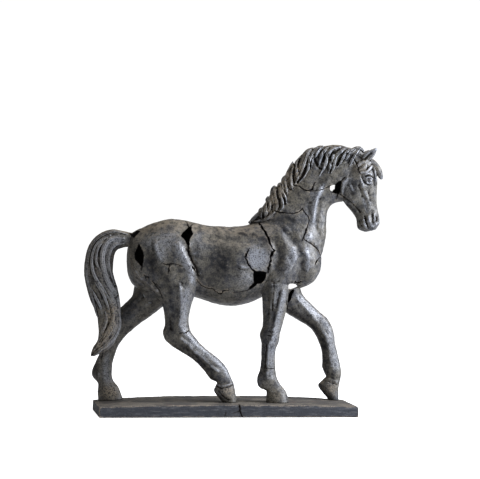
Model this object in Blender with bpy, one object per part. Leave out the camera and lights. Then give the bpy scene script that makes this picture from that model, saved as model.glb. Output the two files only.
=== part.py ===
"""Standing sculpture: a walking horse, hollow cast with worn, broken skin, on a slab plinth.

Two pieces are built: the plinth, and the horse cast in one with its mane, tail and hooves.
Metres, +Z up, +X toward the head, origin under the middle of the plinth.
The station tables are in millimetres above the plinth top, on the horse's own middle plane.
"""
import math

import bmesh
import bpy
from mathutils import Matrix, Vector
from mathutils.bvhtree import BVHTree

# Driving dimensions
PLINTH_LENGTH = 0.512
PLINTH_WIDTH = 0.140
PLINTH_EDGE = 0.0215       # thickness at the four corners
CROWN_FRONT = 0.0040       # how far the top swells in the middle, near edge
CROWN_BACK = 0.0085        # the same at the far edge
PLINTH_ROUND = 0.0022      # rounding of the slab's edges
CRACK_DEPTH = 0.006        # of the crack in the plinth's near edge
HORSE_LENGTH = 0.596       # tail to forelock
HORSE_HEIGHT = 0.512       # plinth top to ear tip
BODY_WIDTH = 0.125         # across the barrel
HORSE_SETBACK = 0.006      # the horse's middle plane, behind the plinth's centre line
REST_GAP = 0.0003          # between hooves and plinth
LOCK_LIFT = 0.0022         # how far the middle of a mane lock stands off the neck
LOCK_THICK = 0.0044        # half the thickness of a lock on the near side
FAR_LOCK_THICK = 0.0040    # the same on the far side
TAIL_LOCK_THICK = 0.0042   # the same on the tail
SOLE_REACH = 0.030         # how far the sole's cutter passes the plinth on each side, and below
VOXEL = 0.0026             # grain at which the limbs flow into one skin
TRIANGLES = 9200           # of the horse

MM = 0.001
# the station tables draw a horse of 596 x 125 x 512 mm
STRETCH = Vector((HORSE_LENGTH / 0.596, BODY_WIDTH / 0.125, HORSE_HEIGHT / 0.512))
HAIR = STRETCH.z * MM      # one table millimetre of a lock's or an ear's thickness
GROUND = PLINTH_EDGE + 0.0035


def at(x, y, z):
    """A table position, in metres on the standing horse."""
    return Vector((x * MM * STRETCH.x, y * MM * STRETCH.y + HORSE_SETBACK, z * MM * STRETCH.z + GROUND))


# one ring: front/top outline point, back/bottom outline point (x, z), half width, depth of centre
TORSO = [
    ((-194, 318), (-198, 272), 12, 0),
    ((-187, 331), (-194, 244), 34, 0),
    ((-170, 339.5), (-180, 224), 47, 0),
    ((-146, 350.5), (-150, 215), 56, 0),
    ((-115, 358), (-112, 211), 60, 0),
    ((-85, 355.5), (-78, 209), 59, 0),
    ((-50, 348), (-50, 201.5), 57, 0),
    ((-15, 345), (-15, 191.5), 60, 0),
    ((20, 345.5), (20, 189.5), 61, 0),
    ((48, 351), (55, 199), 57, 0),
    ((75, 360), (90, 216), 53, 0),
    ((108, 366), (122, 226), 49, 0),
    ((142, 352), (150, 226), 43, 0),
    ((174, 322), (173, 237), 32, 0),
    ((188, 295), (186, 255), 17, 0),
]
NECK = [
    ((50, 335), (178, 252), 44, 0),
    ((62, 356), (190, 289), 41, 0),
    ((77, 380), (196, 313), 33, 0),
    ((92, 408), (199, 335), 27, 0),
    ((112, 438), (199, 358), 23.5, 0),
    ((135, 466), (200.5, 376), 21, 0),
    ((162, 489), (207, 390), 19, 0),
    ((195, 501), (218, 397), 18, 0),
    ((225, 503), (233, 400), 17, 0),
    ((248, 497), (246, 412), 14, 0),
]
HEAD = [
    ((262, 496), (236, 452), 12, 0),
    ((286, 480), (229, 438), 18, 0),
    ((301, 451), (227, 419), 19.5, 0),
    ((302, 430), (233, 402), 17.5, 0),
    ((301, 412), (243.5, 389), 14, 0),
    ((302.5, 395), (254.5, 376), 11.5, 0),
    ((305.5, 379), (261.5, 364), 10.5, 0),
    ((308.5, 366), (263.5, 352), 11.5, 0),
    ((308, 355.5), (267, 344.5), 11, 0),
    ((301.5, 345), (281, 339.5), 7, 0),
]
NEAR_HIND = [
    ((-76, 300), (-178, 285), 24, -30),
    ((-67, 262), (-170, 248), 29, -32),
    ((-64, 240), (-156, 224), 29, -33),
    ((-67, 216), (-138, 202), 24, -34),
    ((-74, 195), (-130, 188), 19, -34),
    ((-78.5, 175), (-127, 172), 16, -34),
    ((-79.5, 156), (-125.5, 152), 14, -34),
    ((-76, 141), (-129, 136), 13.5, -34),
    ((-66, 127), (-121, 119), 13.5, -34),
    ((-50, 110), (-97, 102.5), 12, -34),
    ((-31, 95), (-70, 86), 10.5, -34),
    ((-15, 83), (-52, 69), 10.5, -34),
    ((-3, 68), (-41, 55), 11.5, -34),
    ((4, 54), (-33, 46), 11, -34),
    ((9, 43), (-21, 40), 9.5, -34),
    ((12.5, 34), (-24, 32), 12.5, -34),
    ((16, 18), (-26, 21.5), 14.5, -34),
    ((18.5, 1), (-8, 0), 13, -34),
    ((20, -4), (-4, -5), 12, -34),
]
NEAR_FORE = [
    ((160, 300), (75, 290), 16, -32),
    ((142, 264), (68, 258), 19, -34),
    ((120, 233), (66, 228), 18, -35),
    ((117, 208), (66.5, 204), 16, -35),
    ((113, 178), (68.5, 174), 14, -35),
    ((107, 156), (68, 152), 12.5, -35),
    ((102.5, 136), (63, 134), 13, -35),
    ((99.5, 120), (66.5, 118), 12.5, -35),
    ((94.5, 106), (66.5, 104), 10.5, -35),
    ((93.5, 82), (66, 81), 9.5, -35),
    ((94.5, 64), (63.5, 63), 10, -35),
    ((98, 48), (59, 45), 11.5, -35),
    ((105, 36), (63.5, 31), 11, -35),
    ((113, 27), (76, 25), 11, -35),
    ((116, 22), (78.5, 21), 14, -35),
    ((119.5, 12), (78, 11), 16, -35),
    ((123, -1), (77.5, -2), 17.5, -35),
    ((124, -5), (77, -6), 17.5, -35),
]
FAR_FORE = [
    ((151.7, 262), (96.7, 235), 18, 28),
    ((153.7, 236), (106.7, 198), 19, 32),
    ((160.3, 212), (123.7, 178), 17, 35),
    ((177.3, 193.5), (148.7, 162), 15, 37),
    ((198.3, 175), (171.7, 149.5), 13.5, 38),
    ((212.3, 163.5), (184.7, 138), 13.5, 38),
    ((223.3, 146), (192.7, 126), 13, 38),
    ((227.8, 128), (198.7, 113), 12, 38),
    ((231.3, 109), (203.2, 99), 10.5, 38),
    ((237.3, 86), (205.7, 80), 9.5, 38),
    ((242.3, 67), (205.7, 64), 10, 38),
    ((244.3, 52), (210.7, 52), 11, 38),
    ((242.3, 39), (213.7, 45), 9.5, 38),
    ((240.8, 30), (204.7, 36), 12.5, 38),
    ((239.3, 17), (198.2, 26), 14, 38),
    ((239.3, 1), (218.7, 1), 13, 38),
    ((239, -7), (224, -7), 12, 38),
]
FAR_HIND = [
    ((-83.3, 270), (-173.3, 300), 24, 28),
    ((-86.3, 232), (-176.3, 248), 29, 31),
    ((-101.7, 201.8), (-179.3, 222), 27, 34),
    ((-124.7, 181.8), (-182.3, 205), 22, 37),
    ((-148.7, 163.3), (-198.3, 187), 17.5, 39),
    ((-172.7, 144.8), (-217.3, 171), 14.5, 40),
    ((-192.7, 126.8), (-234.3, 151), 13.5, 40),
    ((-203.7, 113.8), (-242.3, 134), 13.5, 40),
    ((-210.7, 101.8), (-242.3, 114), 12.5, 40),
    ((-215.7, 85.8), (-245.3, 91), 11, 40),
    ((-219.7, 71.8), (-251.8, 75), 11, 40),
    ((-220.7, 55.8), (-259.3, 57), 12, 40),
    ((-220.7, 44.8), (-258.8, 45), 12, 40),
    ((-216.2, 33.8), (-248.3, 33), 10.5, 40),
    ((-208.7, 25.3), (-246.8, 26), 13.5, 40),
    ((-203.2, 13.8), (-247.8, 14), 15.5, 40),
    ((-197.7, -2.2), (-246.3, -2), 17, 40),
    ((-197, -8), (-245.5, -8), 17.5, 40),
]
TAIL = [
    ((-180, 328), (-180, 302), 11, 0),
    ((-196, 331), (-196, 303), 11.5, 0),
    ((-212, 334), (-207, 301), 12, 0),
    ((-228, 336), (-216, 298), 13, 0),
    ((-245, 330), (-221, 293), 14, 0),
    ((-259, 319), (-224, 285), 15, 0),
    ((-270, 304), (-225.5, 275), 16, 0),
    ((-279, 280), (-226, 264), 16.5, 0),
    ((-280, 256), (-226, 252), 17, 0),
    ((-280, 238), (-222, 238), 17, 0),
    ((-274.5, 215), (-216.5, 222), 16.5, 0),
    ((-267, 193), (-212, 200), 16, 0),
    ((-256, 172), (-209.5, 178), 15, 0),
    ((-253, 153), (-210, 155), 14, 0),
    ((-251.5, 133), (-214, 133), 13, 0),
    ((-254, 117), (-221, 115), 11, 0),
    ((-262, 105), (-232, 102), 8.5, 0),
    ((-266, 92), (-246, 94.5), 5, 0),
    ((-266.5, 88.5), (-260, 88), 3, 0),
]

MANE = [
    ((41, 354), (72, 340), 7, 0),
    ((54, 369), (88, 348), 12, 0),
    ((65, 379), (100, 357), 14, 0),
    ((77, 396), (112, 372), 14, 0),
    ((90, 418), (128, 395), 14, 0),
    ((106, 435), (146, 420), 14, 0),
    ((124, 460), (163, 440), 14, 0),
    ((142, 486), (182, 452), 14, 0),
    ((167, 503), (200, 462), 14, 0),
    ((195, 509.5), (216, 464), 14, 0),
    ((222, 512), (236, 466), 13, 0),
    ((248, 506), (250, 468), 12, 0),
    ((263, 506), (262, 470), 10, 0),
    ((276, 496), (272, 474), 7, 0),
]

# a lock: points (x, z) from the crest to its tip, then half its width; it lies on the neck
NEAR_LOCKS = [
    ([(264, 503), (252, 496), (241, 484), (234, 468)], 6),
    ([(252, 505), (236, 492), (226, 480), (221, 466)], 6),
    ([(240, 504), (222, 491), (212, 478), (206, 461)], 6.5),
    ([(228, 508), (211, 493), (201, 476), (195, 452)], 6.5),
    ([(214, 509), (199, 494), (190, 478), (184, 458)], 6),
    ([(200, 509), (187, 492), (179, 472), (173, 446)], 6.5),
    ([(185, 506), (174, 490), (167, 474), (160, 460)], 6),
    ([(170, 502), (160, 482), (155, 466), (143, 444)], 6.5),
    ([(155, 494), (148, 476), (143, 458), (131, 436)], 6.5),
    ([(141, 483), (134, 466), (131, 448), (123, 424)], 6.5),
    ([(127, 468), (123, 452), (121, 434), (112, 412)], 6.5),
    ([(117, 448), (112, 436), (112, 418), (104, 392)], 6.5),
    ([(106, 431), (100, 420), (100, 402), (92, 378)], 6.5),
    ([(94, 415), (90, 404), (90, 390), (80, 366)], 6.5),
    ([(84, 400), (80, 386), (72, 372), (58, 361), (41, 355)], 7),
]
FAR_LOCKS = [
    ([(258, 503), (243, 492), (232, 470)], 7),
    ([(236, 508), (219, 492), (208, 466)], 7.5),
    ([(212, 509), (197, 492), (186, 464)], 7.5),
    ([(186, 506), (174, 486), (164, 456)], 7.5),
    ([(162, 498), (152, 476), (142, 446)], 7.5),
    ([(138, 480), (131, 458), (122, 428)], 7.5),
    ([(117, 448), (111, 430), (104, 398)], 7.5),
    ([(95, 414), (88, 396), (76, 368)], 7.5),
]
# muscles that stand out of the skin: centre (x, depth, z), half sizes, tilt about the depth axis
SWELLS = [
    (253, -7, 419, 22, 13.5, 27, 12), (253, 7, 419, 22, 13.5, 27, 12),
    (-128, -22, 272, 50, 37, 50, 0), (-128, 22, 272, 50, 37, 50, 0),
    (-92, -37, 236, 24, 22, 40, 0), (-84, 30, 238, 22, 24, 30, 0),
    (108, -24, 266, 30, 31, 48, -14), (112, 24, 262, 30, 31, 44, -14),
    (118, -14, 316, 26, 30, 48, -22), (118, 14, 316, 26, 30, 48, -22),
    (155, -15, 268, 26, 24, 30, 0), (155, 15, 268, 26, 24, 30, 0),
]
# free strands: (x, depth, z, half width, half thickness) along the middle line
NEAR_EAR = [
    (270, -4, 474, 8, 5), (274, -6, 482, 9.5, 6), (280, -9, 489, 9.5, 5.5), (286, -11, 495, 8.2, 4.2),
    (291.5, -12, 500.5, 5.8, 3), (298.5, -12, 506.5, 1.8, 1.4),
]
FAR_EAR = [
    (264, 6, 472, 8, 5), (268, 8, 480, 9.5, 6), (274, 10, 487, 9.5, 5.5), (279, 12, 493, 8, 4.2),
    (284, 13, 498, 5.4, 3), (289, 13, 503, 1.8, 1.4),
]
FORELOCKS = [
    [(276, 0, 484, 8, 6), (286, 0, 480, 9, 7), (294, -1, 473, 8.5, 6), (302.5, -3, 466, 7.5, 5),
     (309, -4, 456, 5.5, 4), (313, -5, 446.5, 2, 1.6)],
    [(280, 2, 478, 9, 5), (291, 1, 468, 8.5, 5), (299, -1, 457, 7, 4.5), (302, -3, 446, 5, 3.5),
     (300, -5, 434, 2, 1.6)],
    [(284, -2, 484, 6, 4), (293, -4, 478, 5, 3.5), (300, -5, 469, 3.8, 3), (304, -6, 462, 2, 1.6)],
]
# tail locks: (share of the tail's width from its inner edge, start and end station), on each side
TAIL_LOCKS = [(0.16, 2, 16), (0.40, 0, 18), (0.64, 0, 17), (0.85, 2, 15)]
TAIL_TIP = [(-246, 0, 102, 8, 6), (-255, 0, 94, 6.5, 5), (-264, 0, 88.5, 4, 3), (-271, 0, 89, 1.5, 1.5)]

# holes broken through the skin: outline (x, z), depth where the hole opens, depth of its floor
BROKEN = {
    "flank_hole": ([(-86, 344), (-81, 343), (-82, 332), (-79, 330), (-84, 320), (-87, 306), (-92, 313),
                    (-101, 324), (-97, 333), (-91, 338)], -85, -26),
    "buttock_hole": ([(-182, 306), (-176, 294), (-173, 284), (-174, 274), (-176, 265), (-183, 271),
                      (-189, 280), (-190, 290), (-185, 300)], -80, -2),
    "elbow_hole": ([(49, 259), (70, 257), (70, 246), (62, 238), (50, 235), (39, 224), (37, 226),
                    (46, 236), (46, 252)], -90, -18),
    "throat_hole": ([(213, 434), (218, 439), (224, 442), (228, 439), (225, 427), (225, 419), (221, 415),
                     (213, 416), (206, 418), (203, 425), (206, 430)], -60, -4),
}
# the crack down the plinth's near edge: shares of the plinth's length and of its edge's thickness
PLINTH_CRACK = [(0.035, 1.26), (0.043, 1.23), (0.049, 0.93), (0.059, 0.65), (0.055, 0.60), (0.041, 0.79),
                (0.033, 1.02)]
# open right through, on a slant: at the throat, and between the chest and the far shoulder
THROAT_EYE = [(206.5, 423), (205.5, 427), (208, 431), (211.5, 431.5), (214.5, 428), (214, 423), (210.5, 420)]
CHEST_GAP = [(122, 223), (123, 231), (130, 234.5), (139, 232.5), (144, 228), (137, 224), (128, 221.5)]
SLANT = 0.173


def flat(ring):
    """A ring's two outline points, half width and depth in one row that can be blended."""
    (ax, az), (bx, bz), w, y = ring
    return Vector((ax, az, bx, bz, w, y))


def blend(rows, between):
    """Rows with smooth ones added between them, so that a form runs without a corner."""
    rows = [2 * rows[0] - rows[1]] + rows + [2 * rows[-1] - rows[-2]]
    out = []
    for p0, p1, p2, p3 in zip(rows, rows[1:], rows[2:], rows[3:]):
        for k in range(between):
            t = k / between
            out.append(0.5 * (2 * p1 + (p2 - p0) * t + (2 * p0 - 5 * p1 + 4 * p2 - p3) * t * t
                              + (3 * p1 - p0 - 3 * p2 + p3) * t ** 3))
    return out + [rows[-2]]


def ring_matrix(row):
    """Where a unit circle goes to become this ring of a limb."""
    ax, az, bx, bz, w, y = row
    a, b = at(ax, y, az), at(bx, y, bz)
    u, v = (a - b) / 2, Vector((0, w * MM * STRETCH.y, 0))
    matrix = Matrix((u, v, u.cross(v).normalized() * MM)).transposed().to_4x4()
    matrix.translation = (a + b) / 2
    return matrix


def sweep(bm, frames, sides):
    """Draw a closed skin through unit circles placed by the given matrices."""
    made = bmesh.ops.create_circle(bm, segments=sides, radius=1, matrix=frames[0], cap_ends=True)
    edges = list({e for v in made["verts"] for e in v.link_edges})
    for last, this in zip(frames, frames[1:]):
        grown = bmesh.ops.extrude_edge_only(bm, edges=edges)["geom"]
        verts = [g for g in grown if isinstance(g, bmesh.types.BMVert)]
        edges = [g for g in grown if isinstance(g, bmesh.types.BMEdge)]
        bmesh.ops.transform(bm, matrix=this @ last.inverted(), verts=verts)
    bmesh.ops.contextual_create(bm, geom=edges)


def loft(bm, table, sides=24):
    """A limb through its table of rings."""
    sweep(bm, [ring_matrix(row) for row in blend([flat(r) for r in table], 3)], sides)


def strand(bm, points, outward, between=3, sides=10):
    """A lock or ear along points (position, half width, half thickness); outward is its face."""
    rows = blend([Vector((*p, w, t)) for p, w, t in points], between)
    frames = []
    for i, row in enumerate(rows):
        ahead, behind = rows[min(i + 1, len(rows) - 1)], rows[max(i - 1, 0)]
        along = Vector((ahead - behind)[:3]).normalized()
        side = along.cross(outward).normalized()
        face = side.cross(along)
        width, thick = max(row[3], 0.0006), max(row[4], 0.0005)
        matrix = Matrix((side * width, face * thick, along * MM)).transposed().to_4x4()
        matrix.translation = Vector(row[:3])
        frames.append(matrix)
    sweep(bm, frames, sides)


def free_strand(bm, table, outward):
    """A strand from a table of (x, depth, z, half width, half thickness)."""
    strand(bm, [(at(x, y, z), w * HAIR, t * HAIR) for x, y, z, w, t in table], outward)


def lay_locks(bm, tree, locks, side, thick):
    """Lay the mane's locks on the neck, on the near (-1) or far (+1) side."""
    look = Vector((0, -side, 0))
    for path, width in locks:
        points = []
        for i, (x, z) in enumerate(path):
            share = i / (len(path) - 1)
            start = at(x, side * 120, z)
            hit = tree.ray_cast(start, look)[0]
            spot = hit if hit is not None else at(x, side * 2, z)
            spot = spot - look * (LOCK_LIFT if hit is not None else 0)
            grow = 0.7 if i == 0 else (1.0 if share < 0.8 else 0.3)
            points.append((spot, width * HAIR * grow, thick * grow))
        strand(bm, points, -look)


def lay_tail_locks(bm, between=2):
    """Long waving locks down both faces of the tail."""
    rows = [flat(r) for r in TAIL]
    for share, first, last in TAIL_LOCKS:
        for side in (-1, 1):
            points = []
            for i in range(round(first), round(last) + 1):
                ax, az, bx, bz, w, y = rows[i]
                wave = share + 0.045 * math.sin(i * 0.9 + share * 9)
                x, z = bx + (ax - bx) * wave, bz + (az - bz) * wave
                bulge = math.sqrt(max(0.0, 1 - (2 * wave - 1) ** 2))
                end = 0.35 if i in (round(first), round(last)) else 1
                half = 0.16 * math.hypot(ax - bx, az - bz) * end
                points.append((at(x, y + side * w * bulge * 0.94, z), max(half, 1) * HAIR, TAIL_LOCK_THICK * end))
            strand(bm, points, Vector((0, side, 0)), between)


def finish(name, bm, colour, rough):
    """Turn a bmesh into a named object with its own material."""
    bmesh.ops.recalc_face_normals(bm, faces=bm.faces[:])
    mesh = bpy.data.meshes.new(name)
    bm.to_mesh(mesh)
    bm.free()
    obj = bpy.data.objects.new(name, mesh)
    bpy.context.scene.collection.objects.link(obj)
    mat = bpy.data.materials.new(name)
    mat.use_nodes = True
    shader = mat.node_tree.nodes["Principled BSDF"]
    shader.inputs["Base Color"].default_value = colour
    shader.inputs["Roughness"].default_value = rough
    mesh.materials.append(mat)
    return obj


def cutter(name, bm, target, solver="EXACT"):
    """Take this shape out of the target, and keep it hidden beside it."""
    tool = finish(name, bm, (0.1, 0.1, 0.1, 1), 0.9)
    tool.hide_render = True
    tool.display_type = "WIRE"
    cut = target.modifiers.new(name, "BOOLEAN")
    cut.operation, cut.solver, cut.object = "DIFFERENCE", solver, tool
    return tool


def crown(x, y):
    """Height of the plinth's top at a place: it swells to the middle, and more at the back."""
    back = min(max(y / PLINTH_WIDTH + 0.5, 0), 1)
    swell = CROWN_FRONT + (CROWN_BACK - CROWN_FRONT) * back
    return PLINTH_EDGE + swell * (1 - min(abs(2 * x / PLINTH_LENGTH), 1) ** 2.5)


def slab(lift=0.0, bottom=0.0, grow=0.0, across=24, deep=6):
    """The plinth's block, with its crowned top raised by lift."""
    bm = bmesh.new()
    size = Matrix.Diagonal((PLINTH_LENGTH / 2 + grow, PLINTH_WIDTH / 2 + grow, 1, 1))
    bmesh.ops.create_grid(bm, x_segments=across, y_segments=deep, size=1, matrix=size)
    top = bm.faces[:]
    grown = bmesh.ops.extrude_face_region(bm, geom=top)["geom"]
    raised = [g for g in grown if isinstance(g, bmesh.types.BMVert)]
    bmesh.ops.delete(bm, geom=top, context="FACES_KEEP_BOUNDARY")
    for vert in bm.verts:
        vert.co.z = bottom
    for vert in raised:
        vert.co.z = crown(vert.co.x, vert.co.y) + lift
    rim = [e for e in bm.edges if e.is_boundary]
    bmesh.ops.contextual_create(bm, geom=rim)
    return bm


def prism(outline, near, far, shrink=0.82, slant=0.0):
    """A broken hole's space, from its ragged mouth to a slightly smaller floor."""
    bm = bmesh.new()
    mouth = [bm.verts.new(at(x + slant * near, near, z)) for x, z in outline]
    face = bm.faces.new(mouth)
    grown = bmesh.ops.extrude_face_region(bm, geom=[face])["geom"]
    floor = [g for g in grown if isinstance(g, bmesh.types.BMVert)]
    bmesh.ops.translate(bm, vec=at(slant * far, far, 0) - at(slant * near, near, 0), verts=floor)
    middle = sum((v.co for v in floor), Vector()) / len(floor)
    bmesh.ops.scale(bm, vec=(shrink, 1, shrink), space=Matrix.Translation(-middle), verts=floor)
    return bm


def shape_horse():
    """Body, limbs, mane and tail as overlapping skins, ready to flow into one."""
    bm = bmesh.new()
    for table in (TORSO, NECK, HEAD, MANE, NEAR_HIND, NEAR_FORE, FAR_FORE, FAR_HIND, TAIL):
        loft(bm, table)
    for x, y, z, rx, ry, rz, tilt in SWELLS:
        turn = Matrix.Rotation(math.radians(tilt), 4, "Y")
        size = Matrix.Diagonal((rx * MM * STRETCH.x, ry * MM * STRETCH.y, rz * MM * STRETCH.z, 1))
        place = Matrix.Translation(at(x, y, z)) @ turn @ size
        bmesh.ops.create_uvsphere(bm, u_segments=24, v_segments=16, radius=1, matrix=place)
    tree = BVHTree.FromBMesh(bm)
    lay_locks(bm, tree, NEAR_LOCKS, -1, LOCK_THICK)
    lay_locks(bm, tree, FAR_LOCKS, 1, FAR_LOCK_THICK)
    lay_tail_locks(bm)
    free_strand(bm, NEAR_EAR, Vector((0.35, -1, 0)))
    free_strand(bm, FAR_EAR, Vector((0.35, 1, 0)))
    for table in FORELOCKS:
        free_strand(bm, table, Vector((0.8, -0.5, 0.4)))
    free_strand(bm, TAIL_TIP, Vector((0, -1, 0)))
    return bm


def build_horse():
    """The cast horse: one skin, holes broken into it, soles cut to the plinth."""
    horse = finish("horse", shape_horse(), (0.12, 0.12, 0.115, 1), 0.5)
    flow = horse.modifiers.new("flow", "REMESH")
    flow.mode, flow.voxel_size = "VOXEL", VOXEL
    ease = horse.modifiers.new("ease", "SMOOTH")
    ease.factor, ease.iterations = 0.5, 3
    fill = horse.modifiers.new("fill", "DISPLACE")
    fill.mid_level, fill.strength = 0.0, 0.0007
    thin = horse.modifiers.new("thin", "DECIMATE")
    thin.ratio = TRIANGLES / evaluated_triangles(horse)
    for name, (outline, near, far) in BROKEN.items():
        cutter(name, prism(outline, near, far), horse)
    for name, outline in (("throat_eye", THROAT_EYE), ("chest_gap", CHEST_GAP)):
        cutter(name, prism(outline, -75, 75, 1.0, SLANT), horse)
    cutter("sole_cut", slab(lift=REST_GAP, bottom=-SOLE_REACH, grow=SOLE_REACH), horse)
    return horse


def evaluated_triangles(obj):
    """How many triangles the object has after its modifiers so far."""
    seen = obj.evaluated_get(bpy.context.evaluated_depsgraph_get())
    mesh = seen.to_mesh()
    mesh.calc_loop_triangles()
    count = len(mesh.loop_triangles)
    seen.to_mesh_clear()
    return max(count, 1)


def build_plinth():
    """The slab: crowned top, rounded edges, a ragged crack down its front edge."""
    bm = slab()
    bmesh.ops.recalc_face_normals(bm, faces=bm.faces[:])
    sharp = [e for e in bm.edges if len(e.link_faces) == 2 and e.calc_face_angle(0) > 0.8]
    bmesh.ops.bevel(bm, geom=sharp, offset=PLINTH_ROUND, segments=3, profile=0.6, affect="EDGES",
                    clamp_overlap=True)
    plinth = finish("plinth", bm, (0.05, 0.05, 0.055, 1), 0.55)
    for face in plinth.data.polygons:
        face.use_smooth = True
    crack = bmesh.new()
    verts = [crack.verts.new(Vector((x * PLINTH_LENGTH, -PLINTH_WIDTH / 2 - CRACK_DEPTH, z * PLINTH_EDGE)))
             for x, z in PLINTH_CRACK]
    face = crack.faces.new(verts)
    grown = bmesh.ops.extrude_face_region(crack, geom=[face])["geom"]
    deeper = [g for g in grown if isinstance(g, bmesh.types.BMVert)]
    bmesh.ops.translate(crack, vec=(0, 2 * CRACK_DEPTH, 0), verts=deeper)
    cutter("plinth_crack", crack, plinth)
    return plinth


for old in list(bpy.data.objects):
    bpy.data.objects.remove(old)
build_plinth()
build_horse()
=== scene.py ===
"""The looks of a walking horse sculpture: hollow cast resin, worn and broken, on a slab plinth."""

import logging
import math
import random
from dataclasses import dataclass, field
from enum import Enum
from typing import Sequence

import bmesh
import bpy
import numpy as np
from mathutils import Matrix, Vector
from mathutils.bvhtree import BVHTree
from mathutils.kdtree import KDTree


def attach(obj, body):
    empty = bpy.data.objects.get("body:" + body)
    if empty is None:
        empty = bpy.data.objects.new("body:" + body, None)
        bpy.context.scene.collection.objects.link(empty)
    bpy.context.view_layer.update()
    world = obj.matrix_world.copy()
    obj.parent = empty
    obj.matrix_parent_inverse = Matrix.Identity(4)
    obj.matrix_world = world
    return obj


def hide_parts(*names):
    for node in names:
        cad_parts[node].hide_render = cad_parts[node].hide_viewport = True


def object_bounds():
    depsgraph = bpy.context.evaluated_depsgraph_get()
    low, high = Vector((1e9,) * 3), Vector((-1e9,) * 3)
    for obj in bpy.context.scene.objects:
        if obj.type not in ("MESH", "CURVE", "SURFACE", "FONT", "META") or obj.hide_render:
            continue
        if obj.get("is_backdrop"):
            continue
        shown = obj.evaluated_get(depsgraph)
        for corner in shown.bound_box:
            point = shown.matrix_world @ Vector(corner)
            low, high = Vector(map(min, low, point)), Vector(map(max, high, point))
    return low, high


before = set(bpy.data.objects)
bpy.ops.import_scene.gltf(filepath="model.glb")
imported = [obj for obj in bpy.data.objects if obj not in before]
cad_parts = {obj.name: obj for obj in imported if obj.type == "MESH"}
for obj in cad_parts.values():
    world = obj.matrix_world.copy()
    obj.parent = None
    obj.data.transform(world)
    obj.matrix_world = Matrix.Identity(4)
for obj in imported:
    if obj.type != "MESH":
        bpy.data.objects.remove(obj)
CAD_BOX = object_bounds()
LOG = logging.getLogger("horse")

MM = 0.001
MID_Y = 6.0          # the horse's middle plane, mm behind the plinth's centre line
GROUND = 25.0        # plinth top under the horse, mm
Point = tuple[float, float]
Line = Sequence[Point]
EYE_SPOT: Point = (285.5, 467.5)     # the horse's eye, where it lines up from the viewpoint, mm


class Side(Enum):
    """Which face of the sculpture a detail is on."""

    NEAR = -1
    FAR = 1


@dataclass(frozen=True)
class Viewpoint:
    """Where the sculpture is looked at from; details are placed as they line up from there."""

    azimuth: float = -9.8
    pitch: float = 0.8
    roll: float = 1.0
    distance: float = 3560.0
    target: tuple[float, float, float] = (24.6, 0.0, 345.3)
    lens: float = 135.0

    def back(self) -> Vector:
        """The direction from the sculpture to the eye."""
        a, e = math.radians(self.azimuth), math.radians(self.pitch)
        return Vector((math.sin(a) * math.cos(e), -math.cos(a) * math.cos(e), math.sin(e)))

    def eye(self) -> Vector:
        """Where the eye is, in mm."""
        return Vector(self.target) + self.back() * self.distance

    def ray(self, x: float, z: float, plane: float, side: Side) -> tuple[Vector, Vector]:
        """The sight line through a spot.

        Args:
            x: The spot's place along the plinth, mm.
            z: Its height, mm.
            plane: The depth of the spot, mm.
            side: The face that is looked at; the far face is seen from the mirrored eye.

        Returns:
            The eye and the direction, in mm.
        """
        eye, spot = self.eye(), Vector((x, plane, z))
        if side is Side.FAR:
            eye.y, spot.y = 2 * MID_Y - eye.y, 2 * MID_Y - plane
        return eye, (spot - eye).normalized()

    def place(self, x: float, z: float, depth: float, plane: float = 0.0, side: Side = Side.NEAR) -> Vector:
        """The point at a depth that lines up with a spot, in mm."""
        eye, way = self.ray(x, z, plane, side)
        level = depth if side is Side.NEAR else 2 * MID_Y - depth
        return eye + way * ((level - eye.y) / way.y)

    def flatten(self, points: np.ndarray, plane: float, side: Side) -> np.ndarray:
        """Where many points line up on a plane.

        Args:
            points: Positions in mm, one row each.
            plane: The depth of the plane they are read on.
            side: The face that is looked at.

        Returns:
            Their x and z on that plane.
        """
        eye = np.array(self.eye())
        pts = points.copy()
        if side is Side.FAR:
            pts[:, 1] = 2 * MID_Y - pts[:, 1]
        share = (plane - eye[1]) / (pts[:, 1] - eye[1])
        return (eye + (pts - eye) * share[:, None])[:, [0, 2]]


VIEW = Viewpoint()


def at(x: float, y: float, z: float) -> Vector:
    """A station table's position, in metres in the frame."""
    return Vector((x, y + MID_Y, z + GROUND)) * MM


def linear(hex_colour: str) -> tuple[float, float, float, float]:
    """An sRGB hex value as linear colour with full alpha."""
    parts = [int(hex_colour[i : i + 2], 16) / 255 for i in (1, 3, 5)]
    return (*(c / 12.92 if c <= 0.04045 else ((c + 0.055) / 1.055) ** 2.4 for c in parts), 1.0)


def blend(rows: list[Vector], between: int) -> list[Vector]:
    """Add smooth rows between the given ones, so that a form runs without a corner.

    Args:
        rows: Rows of numbers in order.
        between: How many rows one span becomes.

    Returns:
        The longer list, which still holds the given rows.
    """
    rows = [2 * rows[0] - rows[1]] + rows + [2 * rows[-1] - rows[-2]]
    out = []
    for p0, p1, p2, p3 in zip(rows, rows[1:], rows[2:], rows[3:]):
        for k in range(between):
            t = k / between
            out.append(0.5 * (2 * p1 + (p2 - p0) * t + (2 * p0 - 5 * p1 + 4 * p2 - p3) * t * t
                              + (3 * p1 - p0 - 3 * p2 + p3) * t ** 3))
    return out + [rows[-2]]


def smooth_line(line: Line, between: int = 6) -> list[Point]:
    """A line with smooth points between its own."""
    return [(v[0], v[1]) for v in blend([Vector(p) for p in line], between)]


def beside(line: Line, gap: float) -> list[Point]:
    """A line that runs beside another one, mm to its left."""
    out = []
    for i, (x, z) in enumerate(line):
        (ax, az), (bx, bz) = line[max(i - 1, 0)], line[min(i + 1, len(line) - 1)]
        long = math.hypot(bx - ax, bz - az)
        out.append((x - (bz - az) / long * gap, z + (bx - ax) / long * gap))
    return out


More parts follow.
